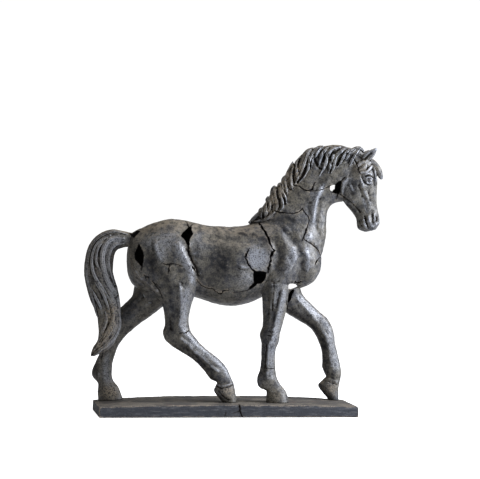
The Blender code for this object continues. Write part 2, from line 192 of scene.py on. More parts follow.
def sweep(bm: bmesh.types.BMesh, frames: list[Matrix], sides: int) -> None:
    """Draw a closed skin through unit circles.

    Args:
        bm: The mesh it is added to.
        frames: Where each unit circle goes.
        sides: Points round each circle.
    """
    skin = bmesh.new()
    made = bmesh.ops.create_circle(skin, segments=sides, radius=1, matrix=frames[0], cap_ends=True)
    edges = list({e for v in made["verts"] for e in v.link_edges})
    for last, this in zip(frames, frames[1:]):
        grown = bmesh.ops.extrude_edge_only(skin, edges=edges)["geom"]
        verts = [g for g in grown if isinstance(g, bmesh.types.BMVert)]
        edges = [g for g in grown if isinstance(g, bmesh.types.BMEdge)]
        bmesh.ops.transform(skin, matrix=this @ last.inverted(), verts=verts)
    bmesh.ops.contextual_create(skin, geom=edges)
    bmesh.ops.recalc_face_normals(skin, faces=skin.faces[:])
    drawn = bpy.data.meshes.new("drawn")
    skin.to_mesh(drawn)
    skin.free()
    bm.from_mesh(drawn)
    bpy.data.meshes.remove(drawn)


def new_object(name: str, bm: bmesh.types.BMesh, turn_out: bool = True) -> bpy.types.Object:
    """Put a bmesh into the scene as an object at the origin."""
    if turn_out:
        bmesh.ops.recalc_face_normals(bm, faces=bm.faces[:])
    mesh = bpy.data.meshes.new(name)
    bm.to_mesh(mesh)
    bm.free()
    obj = bpy.data.objects.new(name, mesh)
    bpy.context.scene.collection.objects.link(obj)
    return obj


def apply_modifiers(obj: bpy.types.Object) -> None:
    """Make what the modifiers show the object's own mesh."""
    seen = obj.evaluated_get(bpy.context.evaluated_depsgraph_get())
    mesh = bpy.data.meshes.new_from_object(seen)
    old = obj.data
    obj.modifiers.clear()
    obj.data = mesh
    bpy.data.meshes.remove(old)


def triangle_count(mesh: bpy.types.Mesh) -> int:
    """How many triangles the mesh has."""
    mesh.calc_loop_triangles()
    return len(mesh.loop_triangles)


def tree_of(mesh: bpy.types.Mesh) -> BVHTree:
    """The mesh as a tree that sight lines are tested against."""
    bm = bmesh.new()
    bm.from_mesh(mesh)
    tree = BVHTree.FromBMesh(bm)
    bm.free()
    return tree


def close_wedge(bm: bmesh.types.BMesh, rows: list[list[bmesh.types.BMVert]]) -> None:
    """Draw the skin of a wedge through its rows of four corners."""
    for last, this in zip(rows, rows[1:]):
        for i in range(4):
            k = (i + 1) % 4
            bm.faces.new((last[i], last[k], this[k], this[i]))
    bm.faces.new(rows[0][::-1])
    bm.faces.new(rows[-1])


# one ring of a limb: two outline points (x, z) across from each other, half width, and the depth off the
# middle where it isn't the limb's own, which stands before its rings; mm
Ring = tuple[Point, Point, float] | tuple[Point, Point, float, float]
LIMBS: dict[str, tuple[float, list[Ring]]] = {
    "torso": (0, [
        ((-194, 318), (-198, 272), 12), ((-187, 331), (-194, 244), 34), ((-170, 339.5), (-180, 224), 47),
        ((-146, 350.5), (-150, 215), 56), ((-115, 358), (-112, 211), 60), ((-85, 355.5), (-78, 209), 59),
        ((-50, 348), (-50, 201.5), 57), ((-15, 345), (-15, 191.5), 60), ((20, 345.5), (20, 189.5), 61),
        ((48, 351), (55, 199), 57), ((75, 360), (90, 216), 53), ((108, 366), (122, 226), 49),
        ((142, 352), (150, 226), 43), ((174, 322), (173, 237), 32), ((188, 295), (186, 255), 17),
    ]),
    "neck": (0, [
        ((50, 335), (178, 252), 44), ((62, 356), (190, 289), 41), ((77, 380), (196, 313), 33),
        ((92, 408), (199, 335), 27), ((112, 438), (199, 358), 23.5), ((135, 466), (200.5, 376), 21),
        ((162, 489), (207, 390), 19), ((195, 501), (218, 397), 18), ((225, 503), (233, 400), 17),
        ((248, 497), (246, 412), 14),
    ]),
    "head": (0, [
        ((262, 496), (236, 452), 12), ((286, 480), (229, 438), 18), ((301, 451), (227, 419), 19.5),
        ((302, 430), (233, 402), 17.5), ((301, 412), (243.5, 389), 14), ((302.5, 395), (254.5, 376), 11.5),
        ((305.5, 379), (261.5, 364), 10.5), ((308.5, 366), (263.5, 352), 11.5),
        ((308, 355.5), (267, 344.5), 11), ((301.5, 345), (281, 339.5), 7),
    ]),
    "mane": (0, [
        ((41, 354), (72, 340), 7), ((54, 369), (88, 348), 12), ((65, 379), (100, 357), 14),
        ((77, 396), (112, 372), 14), ((90, 418), (128, 395), 14), ((106, 435), (146, 420), 14),
        ((124, 460), (163, 440), 14), ((142, 486), (182, 452), 14), ((167, 503), (200, 462), 14),
        ((195, 509.5), (216, 464), 14), ((222, 512), (236, 466), 13), ((248, 506), (250, 468), 12),
        ((263, 506), (262, 470), 10), ((276, 496), (272, 474), 7),
    ]),
    "near_hind": (-34, [
        ((-76, 300), (-178, 285), 24, -30), ((-67, 262), (-170, 248), 29, -32),
        ((-64, 240), (-156, 224), 29, -33), ((-67, 216), (-138, 202), 24), ((-74, 195), (-130, 188), 19),
        ((-78.5, 175), (-127, 172), 16), ((-79.5, 156), (-125.5, 152), 14), ((-76, 141), (-129, 136), 13.5),
        ((-66, 127), (-121, 119), 13.5), ((-50, 110), (-97, 102.5), 12), ((-31, 95), (-70, 86), 10.5),
        ((-15, 83), (-52, 69), 10.5), ((-3, 68), (-41, 55), 11.5), ((4, 54), (-33, 46), 11),
        ((9, 43), (-21, 40), 9.5), ((12.5, 34), (-24, 32), 12.5), ((16, 18), (-26, 21.5), 14.5),
        ((18.5, 1), (-8, 0), 13), ((20, -4), (-4, -5), 12),
    ]),
    "near_fore": (-35, [
        ((160, 300), (75, 290), 16, -32), ((142, 264), (68, 258), 19, -34), ((120, 233), (66, 228), 18),
        ((117, 208), (66.5, 204), 16), ((113, 178), (68.5, 174), 14), ((107, 156), (68, 152), 12.5),
        ((102.5, 136), (63, 134), 13), ((99.5, 120), (66.5, 118), 12.5), ((94.5, 106), (66.5, 104), 10.5),
        ((93.5, 82), (66, 81), 9.5), ((94.5, 64), (63.5, 63), 10), ((98, 48), (59, 45), 11.5),
        ((105, 36), (63.5, 31), 11), ((113, 27), (76, 25), 11), ((116, 22), (78.5, 21), 14),
        ((119.5, 12), (78, 11), 16), ((123, -1), (77.5, -2), 17.5), ((124, -5), (77, -6), 17.5),
    ]),
    "far_fore": (38, [
        ((151.7, 262), (96.7, 235), 18, 28), ((153.7, 236), (106.7, 198), 19, 32),
        ((160.3, 212), (123.7, 178), 17, 35), ((177.3, 193.5), (148.7, 162), 15, 37),
        ((198.3, 175), (171.7, 149.5), 13.5), ((212.3, 163.5), (184.7, 138), 13.5),
        ((223.3, 146), (192.7, 126), 13), ((227.8, 128), (198.7, 113), 12),
        ((231.3, 109), (203.2, 99), 10.5), ((237.3, 86), (205.7, 80), 9.5), ((242.3, 67), (205.7, 64), 10),
        ((244.3, 52), (210.7, 52), 11), ((242.3, 39), (213.7, 45), 9.5), ((240.8, 30), (204.7, 36), 12.5),
        ((239.3, 17), (198.2, 26), 14), ((239.3, 1), (218.7, 1), 13), ((239, -7), (224, -7), 12),
    ]),
    "far_hind": (40, [
        ((-83.3, 270), (-173.3, 300), 24, 28), ((-86.3, 232), (-176.3, 248), 29, 31),
        ((-101.7, 201.8), (-179.3, 222), 27, 34), ((-124.7, 181.8), (-182.3, 205), 22, 37),
        ((-148.7, 163.3), (-198.3, 187), 17.5, 39), ((-172.7, 144.8), (-217.3, 171), 14.5),
        ((-192.7, 126.8), (-234.3, 151), 13.5), ((-203.7, 113.8), (-242.3, 134), 13.5),
        ((-210.7, 101.8), (-242.3, 114), 12.5), ((-215.7, 85.8), (-245.3, 91), 11),
        ((-219.7, 71.8), (-251.8, 75), 11), ((-220.7, 55.8), (-259.3, 57), 12),
        ((-220.7, 44.8), (-258.8, 45), 12), ((-216.2, 33.8), (-248.3, 33), 10.5),
        ((-208.7, 25.3), (-246.8, 26), 13.5), ((-203.2, 13.8), (-247.8, 14), 15.5),
        ((-197.7, -2.2), (-246.3, -2), 17), ((-197, -8), (-245.5, -8), 17.5),
    ]),
    "tail": (0, [
        ((-180, 328), (-180, 302), 11), ((-196, 331), (-196, 303), 11.5), ((-212, 334), (-207, 301), 12),
        ((-228, 336), (-216, 298), 13), ((-245, 330), (-221, 293), 14), ((-259, 319), (-224, 285), 15),
        ((-270, 304), (-225.5, 275), 16), ((-279, 280), (-226, 264), 16.5), ((-280, 256), (-226, 252), 17),
        ((-280, 238), (-222, 238), 17), ((-274.5, 215), (-216.5, 222), 16.5),
        ((-267, 193), (-212, 200), 16), ((-256, 172), (-209.5, 178), 15), ((-253, 153), (-210, 155), 14),
        ((-251.5, 133), (-214, 133), 13), ((-254, 117), (-221, 115), 11), ((-262, 105), (-232, 102), 8.5),
        ((-266, 92), (-246, 94.5), 5), ((-266.5, 88.5), (-260, 88), 3),
    ]),
}

# a lock: how it lines up from the viewpoint (x, z) in mm, from root to tip, and half its width
MANE_LOCKS: list[tuple[Line, float]] = [
    ([(264, 531), (257, 522), (251, 511), (246, 502), (243, 494)], 2.6),
    ([(258, 532), (250, 527), (243, 520), (238, 512), (232, 502)], 2.6),
    ([(273, 523), (266, 530), (257, 529), (250, 523), (246, 515)], 3.6),
    ([(247, 530), (238, 524), (231, 514), (226, 503), (216, 491)], 2.6),
    ([(238, 532), (225, 524), (216, 514), (212, 502), (211, 491), (206, 480)], 3.6),
    ([(225, 533), (212, 529), (202, 522), (197, 511), (194, 500), (190, 488), (183, 475)], 4.6),
    ([(211, 518), (206, 506), (204, 494), (201, 481)], 2.6),
    ([(205, 533), (195, 527), (187, 517), (183, 504), (180, 489)], 2.8),
    ([(190, 534), (181, 527), (174, 516), (168, 504), (166, 488)], 3.4),
    ([(178, 531), (170, 522), (164, 511), (161, 499)], 2.4),
    ([(170, 529), (160, 521), (154, 509), (149, 495), (145, 481), (141, 468)], 3.8),
    ([(161, 512), (162, 499), (158, 486), (151, 473), (140, 460)], 2.6),
    ([(156, 519), (149, 509), (144, 497), (141, 483), (137, 470)], 2.8),
    ([(142, 510), (136, 498), (135, 485), (138, 471), (136, 462), (130, 453)], 3.0),
    ([(132, 498), (129, 487), (126, 477), (125, 465), (126, 455), (130, 444)], 2.8),
    ([(125, 491), (120, 482), (117, 472), (118, 462)], 3.2),
    ([(117, 474), (113, 464), (113, 455), (116, 445), (120, 431)], 2.8),
    ([(110, 466), (107, 456), (108, 448), (111, 439)], 2.6),
    ([(106, 459), (105, 448), (110, 437), (115, 426), (117, 416)], 2.4),
    ([(100, 456), (103, 445), (104, 433), (108, 421), (109, 411), (102, 400)], 3.0),
    ([(94, 452), (93, 442), (95, 430), (98, 418), (97, 409), (94, 400)], 4.2),
    ([(88, 441), (88, 432), (90, 423), (92, 413), (87, 403)], 3.0),
    ([(83, 431), (83, 420), (84, 410), (81, 399)], 3.0),
    ([(76, 419), (76, 407), (75, 396), (76, 383)], 3.8),
    ([(71, 409), (68, 400), (66, 392), (67, 382)], 3.0),
    ([(66, 402), (58, 394), (50, 387), (43, 380)], 3.4),
    ([(93, 401), (84, 391), (74, 386), (60, 382), (44, 380)], 2.8),
]
# dark valleys between bundles of the mane: line, half width, how deep
MANE_VALLEYS: list[tuple[Line, float, float]] = [
    ([(172, 522), (173, 508), (180, 493), (190, 487)], 2.6, 3.6),
    ([(200, 522), (203, 508), (209, 494)], 2.6, 3.4),
    ([(163, 503), (164, 495), (163, 488)], 1.8, 2.6),
    ([(131, 502), (131, 485), (130, 470), (133, 456)], 1.7, 2.8),
    ([(157, 496), (152, 480), (145, 468), (136, 457)], 1.7, 2.6),
    ([(226, 515), (221, 503), (217, 492)], 2.0, 3.0),
    ([(103, 432), (103, 420), (104, 408)], 1.6, 2.6),
    ([(110, 434), (113, 424), (115, 414)], 1.6, 2.4),
    ([(118, 455), (122, 448), (128, 444)], 1.6, 2.4),
    ([(87, 417), (88, 408), (89, 399)], 1.7, 2.6),
    ([(70, 403), (70, 393), (71, 384)], 1.7, 2.4),
    ([(240, 524), (233, 513), (228, 503)], 1.8, 2.6),
    ([(190, 526), (192, 512), (189, 499)], 1.6, 2.4),
    ([(216, 529), (207, 519), (203, 505)], 1.5, 2.2),
    ([(147, 515), (140, 500), (138, 488)], 1.6, 2.4),
    ([(253, 520), (262, 515), (270, 510), (276, 505)], 2.0, 0.8),
    ([(252, 512), (257, 503), (262, 498)], 2.0, 2.6),
    ([(97, 446), (98, 436), (101, 424)], 1.5, 2.2),
    ([(79, 424), (79, 412), (78, 400)], 1.5, 2.2),
]
MANE_PEAK = [(116, 470), (121, 484), (125.5, 494), (128.5, 502)]
TAIL_LOCKS: list[tuple[Line, float]] = [
    ([(-200, 352), (-225, 356), (-250, 347), (-267, 328), (-274, 300), (-275, 270), (-268, 240), (-261, 215),
      (-255, 190)], 4.0),
    ([(-232, 350), (-252, 340), (-264, 322), (-268, 300), (-266, 280), (-259, 264), (-249, 250), (-240, 236),
      (-232, 222), (-228, 206)], 2.6),
    ([(-238, 345), (-252, 332), (-259, 316), (-260, 300), (-256, 288), (-249, 275)], 2.2),
    ([(-205, 344), (-228, 343), (-241, 333), (-247, 315), (-247, 297), (-243, 280), (-238, 264), (-230, 250),
      (-222, 238), (-216, 222), (-213, 205), (-212, 188)], 4.6),
    ([(-205, 334), (-222, 332), (-232, 320), (-236, 303), (-234, 285), (-228, 266), (-220, 248)], 3.2),
    ([(-262, 262), (-256, 252), (-248, 240), (-241, 226), (-235, 210), (-231, 194)], 2.4),
    ([(-270, 246), (-263, 234), (-256, 222), (-250, 210), (-246, 196)], 2.2),
    ([(-228, 212), (-224, 196), (-226, 180), (-233, 165), (-242, 152), (-250, 138)], 3.0),
    ([(-216, 205), (-213, 190), (-213, 172), (-219, 155), (-229, 142), (-241, 131), (-254, 122),
      (-266, 114)], 3.8),
    ([(-240, 200), (-238, 184), (-243, 168), (-248, 152), (-253, 138), (-260, 126)], 3.0),
    ([(-222, 180), (-227, 166), (-235, 152), (-244, 141)], 2.2),
    ([(-235, 136), (-247, 127), (-257, 119), (-267, 113)], 3.0),
]
# a free lock: x, depth off the horse's middle, z above the ground, half width, half thickness, in mm
Free = list[tuple[float, float, float, float, float]]
FORELOCKS: list[Free] = [
    [(276, -1, 482.5, 8, 6), (286.5, -1, 479, 9.4, 8), (295.5, -2, 472.5, 9, 8), (302.3, -4, 464, 7.8, 7.2),
     (307.4, -5, 454.4, 5.8, 5.4), (310.5, -6, 445, 2.2, 2.0)],
    [(276, 3, 482, 7, 5), (289, 2, 476, 7, 4.6), (299, 0, 466, 6, 4), (304.5, -2, 456, 4.6, 3.6),
     (307.5, -3, 447, 1.6, 1.4)],
    [(284, -4, 478, 4.5, 4), (291, -7, 471, 4.2, 3.0), (295, -9, 460, 3.4, 2.6), (297, -9, 448, 2.6, 2.0),
     (298, -8, 438, 1.2, 1.0)],
    [(281, 8, 478, 4.5, 4), (290, 11, 472, 4.2, 3.4), (295, 14, 463, 3.6, 3), (294, 16, 453, 1.2, 1.2)],
]
TEMPLE_LOCKS: list[tuple[Line, float]] = [
    ([(289, 503), (288, 495), (282, 488), (273, 484), (262, 481)], 3.0),
    ([(281, 507), (272, 502), (264, 499), (258, 493)], 5.0),
    ([(286, 505), (280, 498), (272, 492), (264, 488)], 5.0),
]
NEAR_EAR: Free = [
    (270, -4, 474, 8, 5), (274, -6, 482, 9.3, 6), (280, -9, 489, 9.2, 5.5), (286, -11, 495, 8.0, 4.4),
    (291.5, -12, 500.5, 5.6, 3.2), (297.8, -12, 506.3, 1.6, 1.4),
]
FAR_EAR: Free = [
    (264, 6, 472, 8, 5), (268, 8, 480, 9.3, 6), (274, 10, 487, 9.2, 5.5), (279, 12, 493, 7.8, 4.4),
    (284, 13, 498, 5.2, 3.2), (289, 13, 503, 1.6, 1.4),
]
# muscles that stand out of the skin: centre (x, depth, z), half sizes, tilt about the depth axis
SWELLS = [
    (253, -7, 419, 22, 13.5, 27, 12), (253, 7, 419, 22, 13.5, 27, 12),
    (-128, -22, 272, 50, 37, 50, 0), (-128, 22, 272, 50, 37, 50, 0),
    (-92, -37, 236, 24, 22, 40, 0), (-84, 30, 238, 22, 24, 30, 0),
    (108, -24, 266, 30, 31, 48, -14), (112, 24, 262, 30, 31, 44, -14),
    (118, -14, 316, 26, 30, 48, -22), (118, 14, 316, 26, 30, 48, -22),
    (155, -15, 268, 26, 24, 30, 0), (155, 15, 268, 26, 24, 30, 0),
]


@dataclass(frozen=True)
class Reach:
    """Where strokes and tones take hold.

    plane is the depth that their lines are read on, depth the span of depths that they reach, in mm,
    and both
    says whether the far side gets them as well.
    """

    plane: float = 0.0
    depth: tuple[float, float] = (-90.0, 8.0)
    both: bool = True

    def sides(self) -> tuple[Side, ...]:
        """The faces of the sculpture that are reached."""
        return tuple(Side) if self.both else (Side.NEAR,)


WHOLE = Reach()
EAR_CUP = Reach(depth=(-90.0, 4.0))
EAR_BASE = Reach(depth=(-90.0, 2.0))
NEAR_LEG = Reach(-30.0, (-90.0, -2.0), False)
FAR_LEG = Reach(46.0, (20.0, 90.0), False)
NEAR_ONLY = Reach(0.0, (-90.0, -2.0), False)
FAR_ONLY = Reach(0.0, (20.0, 90.0), False)


@dataclass(frozen=True)
class Stroke:
    """One drag of the modelling tool over the skin, lined up from the viewpoint.

    line is (x, z) in mm, width is half the stroke's width and lift its height in mm, below 0 for a valley.
    """

    line: Line
    width: float
    lift: float
    reach: Reach = WHOLE


# the strokes, as the arguments of Stroke
BODY_STROKES = [
    # haunch and thigh
    ([(-107, 346), (-99, 329), (-88, 310), (-78, 291), (-71, 273), (-68, 255)], 9, 4.0),
    ([(-84, 336), (-78, 318), (-71, 303), (-62, 287), (-57, 270), (-50, 258)], 6, -4.0),
    ([(-145, 345), (-143, 328), (-137, 311), (-126, 300)], 4.6, 1.9),
    ([(-151, 350), (-150, 330), (-145, 308), (-136, 294)], 5, -1.9),
    ([(-155, 335), (-156, 315), (-150, 292), (-140, 275)], 9, -2.6),
    ([(-190, 335), (-192, 310), (-188, 288), (-178, 266)], 6, 1.6),
    ([(-184, 290), (-174, 272), (-158, 258), (-145, 248), (-130, 237)], 4.0, 2.8),
    ([(-185, 272), (-172, 257), (-155, 244), (-138, 231)], 4.0, -2.8),
    ([(-160, 277), (-148, 263), (-136, 250), (-124, 240)], 4, -1.6),
    ([(-110, 275), (-95, 262), (-82, 250)], 10, -2.6),
    ([(-125, 262), (-117, 248), (-108, 238)], 9, -1.4),
    # loin, barrel, ribs
    ([(-70, 350), (-40, 345), (0, 341), (45, 338), (78, 330)], 9, -1.2),
    ([(-60, 362), (-20, 358), (30, 357), (60, 362)], 8, 0.9),
    ([(80, 330), (50, 338), (10, 344), (-30, 349), (-64, 352)], 6, -0.8),
    ([(14, 300), (24, 294), (38, 290), (48, 290)], 3.4, 1.3),
    ([(16, 291), (28, 286), (40, 284)], 3.0, -1.0),
    ([(0, 284), (14, 279), (26, 268)], 4.0, -0.9),
    ([(36, 275), (44, 268), (48, 258)], 6.0, 1.6),
    ([(-60, 345), (-66, 330), (-66, 315)], 9, -1.8),
    ([(-50, 258), (-20, 246), (10, 246), (45, 254)], 5, -1.0),
    ([(5, 318), (12, 290), (18, 262)], 8, -1.0),
    ([(28, 296), (32, 275), (36, 258)], 11, 1.4),
    # shoulder and upper arm
    ([(90, 385), (103, 363), (116, 343), (128, 327), (134, 312)], 10, 1.2),
    ([(133, 326), (134, 308), (127, 292), (117, 280), (111, 268)], 8, 3.2),
    ([(92, 350), (100, 330), (104, 312), (100, 292)], 9, -3.0),
    ([(118, 372), (129, 352), (140, 335), (147, 318), (149, 296), (148, 278)], 8, -2.6),
    ([(75, 352), (84, 332), (90, 318)], 7, 1.6),
    ([(88, 300), (90, 284), (94, 270)], 6, 1.6),
    ([(170, 318), (172, 300), (166, 282)], 9, 1.8),
    ([(187, 316), (176, 332), (160, 346)], 3.5, -1.8),
    ([(113, 270), (104, 263), (94, 262), (84, 268)], 5, -2.6),
    ([(110, 262), (122, 258), (136, 262)], 4, -1.6),
    # neck
    ([(191, 456), (181, 439), (175, 419), (172.5, 398), (171, 374)], 5.4, 3.4),
    ([(192, 440), (184, 424), (180, 404), (179, 384), (178, 362)], 5, -2.2),
    ([(166, 430), (163, 410), (163, 392)], 6, -1.6),
    ([(205, 470), (196, 461), (188, 452)], 7, 1.8),
    ([(165, 364), (165, 353), (169, 346)], 6, 1.5),
    ([(110, 369), (125, 349), (139, 332)], 9.5, -2.4),
    ([(158, 328), (163, 308), (162, 288), (154, 274)], 5, 1.8),
    ([(176, 372), (184, 356), (190, 340)], 6, -1.4),
    ([(110, 395), (130, 393), (150, 386)], 10, 1.4),
    ([(150, 470), (158, 458), (162, 448)], 9, 1.2),
    ([(225, 480), (232, 470), (238, 474)], 5, -1.4),
    ([(196, 395), (192, 370), (194, 345)], 4, 1.0),
    # head: cheek, face crest, nose, mouth, jaw
    ([(233, 435), (230.5, 448), (233, 462), (242, 470), (253, 472)], 3.4, 1.4),
    ([(227, 438), (225.5, 451), (229, 466), (239, 475)], 2.2, -1.8),
    ([(229, 437), (240, 428), (251, 419), (262, 409), (271, 400)], 2.6, -1.7),
    ([(238, 463), (246, 447), (254, 432)], 3.6, -0.7),
    ([(246, 468), (254, 452), (262, 438)], 3.6, -0.9),
    ([(242, 466), (250, 450), (258, 435)], 3.0, 0.6),
    ([(240, 440), (250, 429), (258, 421)], 3.0, 1.0),
    ([(261, 468), (266, 452), (271, 437), (276, 424)], 4.4, -1.2),
    ([(276, 424), (281, 411), (284, 399)], 3.0, -0.5),
    ([(268, 469), (274, 450), (281, 431), (287, 412), (290, 397)], 4.6, 1.6),
    ([(281, 452), (286, 436), (290, 420)], 3.0, -1.0),
    ([(291, 479), (295, 466), (297, 452)], 2.2, -1.8),
    ([(296, 446), (297, 430), (299, 414)], 3.0, 1.0),
    ([(255, 424), (264, 408), (272, 396)], 5, -1.2),
    ([(296, 404), (297, 393), (296, 383)], 1.9, 1.5),
    ([(291, 413), (292, 399), (294, 386), (298, 379)], 3.0, -1.2),
    ([(285, 402), (285, 391), (288, 382), (293, 375), (299, 372)], 2.8, 1.9),
    ([(276, 399), (279, 388), (282, 379), (286, 369)], 2.1, -3.6),
    ([(264, 392), (268, 380), (275, 372)], 2.6, -1.6),
    ([(272, 392), (275, 381), (280, 372)], 2.4, 0.7),
    ([(302, 398), (303.5, 390), (302, 382)], 3.4, -4.4),
    ([(307, 399), (308, 389), (304, 380)], 2.0, 1.2),
    ([(292, 374), (299, 378), (304, 382)], 2.0, 1.2),
    # eye and brow
    ([(274, 478), (283, 481), (293, 477)], 2.8, 2.2),
    ([(275, 473), (279, 476.5), (287, 477), (293.5, 472)], 1.7, -1.6),
    ([(275, 470), (276, 463), (282, 458.5), (291, 459)], 2.2, -1.3),
    ([(277, 469.5), (282, 473.5), (289, 472.5), (293, 468)], 1.2, 1.6),
    ([(277.5, 465), (283, 461.5), (290, 462.5)], 1.1, 1.6),
    ([(267, 480), (271, 470), (275, 460)], 2.6, -1.8),
    # the cup of the ear, and the hollow at the temple
    ([(272, 505), (280, 515), (287, 521), (292, 526)], 2.6, -2.4, EAR_CUP),
    ([(281, 506), (288, 512), (294, 521)], 1.6, 1.0, EAR_CUP),
    ([(279.5, 502), (282, 495), (279, 488), (270, 484)], 1.8, -2.0),
    # under the ears
    ([(256, 509), (262, 513), (269, 519)], 4, -1.0, EAR_BASE),
    ([(255, 503), (264, 505), (272, 507)], 3.4, -1.0, EAR_BASE),
]
LEG_STROKES = [
    # near fore: forearm, knee, tendons, fetlock, coronet
    ([(94, 264), (94, 242), (93, 222), (92, 200)], 2.4, -1.8, NEAR_ONLY),
    ([(109, 250), (104, 226), (100, 205)], 3.0, -1.5, NEAR_ONLY),
    ([(114, 254), (109, 226), (103, 200), (97, 175), (93, 152), (87, 135), (85, 110), (84, 85), (82, 62)],
     4.2, 2.3,
     NEAR_ONLY),
    ([(88, 258), (89, 238), (89, 216)], 4, 1.6, NEAR_LEG),
    ([(78, 250), (79, 230), (79, 205), (77, 185)], 3.4, -1.4, NEAR_LEG),
    ([(75, 172), (84, 169), (94, 172)], 3, 1.2, NEAR_LEG),
    ([(73, 160), (83, 157), (95, 160)], 2.4, -1.2, NEAR_LEG),
    ([(76, 145), (76, 128), (75, 110), (74, 92)], 2.6, -1.7, NEAR_LEG),
    ([(76, 74), (85, 72), (92, 76)], 4.6, 1.1, NEAR_LEG),
    ([(64, 74), (68, 62), (76, 55)], 2.6, -1.2, NEAR_LEG),
    ([(78, 49), (88, 47.5), (99, 48.5), (108, 51), (116, 51)], 2.2, 0.8, NEAR_LEG),
    ([(79, 44), (88, 42.5), (99, 43), (108, 45), (117, 45)], 2.0, -0.5, NEAR_LEG),
    # near hind: gaskin, hock, cannon, fetlock, coronet
    ([(-106, 262), (-103, 238), (-102, 214), (-103, 190)], 6.5, -1.6, NEAR_ONLY),
    ([(-96, 262), (-92, 238), (-91, 214), (-92, 190), (-95, 164)], 4.8, 2.8, NEAR_ONLY),
    ([(-124, 236), (-119, 215), (-116, 195)], 4.6, 1.2, NEAR_LEG),
    ([(-116, 192), (-116, 176), (-112, 160)], 3.4, -2.0, NEAR_LEG),
    ([(-98, 178), (-92, 166), (-84, 156)], 5.4, 1.6, NEAR_LEG),
    ([(-106, 150), (-92, 143), (-80, 142)], 4, 1.0, NEAR_LEG),
    ([(-90, 136), (-70, 121), (-52, 104), (-38, 90)], 3.2, -1.2, NEAR_LEG),
    ([(-98, 154), (-80, 141), (-62, 124), (-44, 110), (-24, 91), (-8, 80)], 3.8, 2.2, NEAR_ONLY),
    ([(-26, 86), (-16, 80), (-8, 86)], 4.6, 1.1, NEAR_LEG),
    ([(-40, 78), (-30, 72), (-20, 68)], 2.4, -1.6, NEAR_LEG),
    ([(-24, 63), (-12, 58), (2, 61), (12, 64)], 2.0, 1.0, NEAR_LEG),
    ([(-25, 59), (-12, 53.5), (2, 56.5), (13, 60)], 1.6, -1.2, NEAR_LEG),
    ([(-18, 50), (-8, 38), (3, 29), (14, 26)], 2.4, -1.6, NEAR_ONLY),
    # far fore
    ([(136, 234), (160, 209), (183, 183), (199, 160), (208, 136), (212, 110), (217, 84)], 4.6, 2.2,
     FAR_ONLY),
    ([(146, 243), (166, 222), (186, 202)], 3.6, -0.8, FAR_LEG),
    ([(200, 185), (209, 178), (217, 168)], 5, 1.0, FAR_LEG),
    ([(216, 84), (226, 82), (236, 86)], 4.4, 1.0, FAR_LEG),
    ([(203, 64), (216, 66), (230, 61), (241, 57)], 2.2, 0.7, FAR_LEG),
    ([(201, 59), (214, 61), (229, 56), (241, 52)], 1.8, -0.7, FAR_LEG),
    # far hind
    ([(-150, 240), (-172, 215), (-196, 192)], 5, -2.0, FAR_LEG),
    ([(-135, 235), (-156, 207), (-180, 184)], 5.5, 1.4, FAR_LEG),
    ([(-236, 176), (-240, 160), (-238, 146)], 3.2, -1.4, FAR_LEG),
    ([(-238, 135), (-240, 115), (-243, 95)], 2.6, -1.5, FAR_LEG),
    ([(-226, 135), (-229, 115), (-232, 96)], 3, 1.0, FAR_LEG),
    ([(-252, 76), (-240, 74), (-228, 78)], 4.4, 1.0, FAR_LEG),
    ([(-249, 53), (-236, 51.5), (-222, 53), (-212, 53)], 2.4, 0.5, FAR_LEG),
    ([(-244, 112), (-246, 88), (-246, 66), (-240, 44)], 4.4, 1.6, FAR_LEG),
]


@dataclass(frozen=True)
class Crack:
    """A crack through the skin: its line as it lines up from the viewpoint, and its width along it."""

    line: Line
    width: tuple[float, ...]
    deep: float = 6.0
    plane: float = 0.0
    side: Side = Side.NEAR


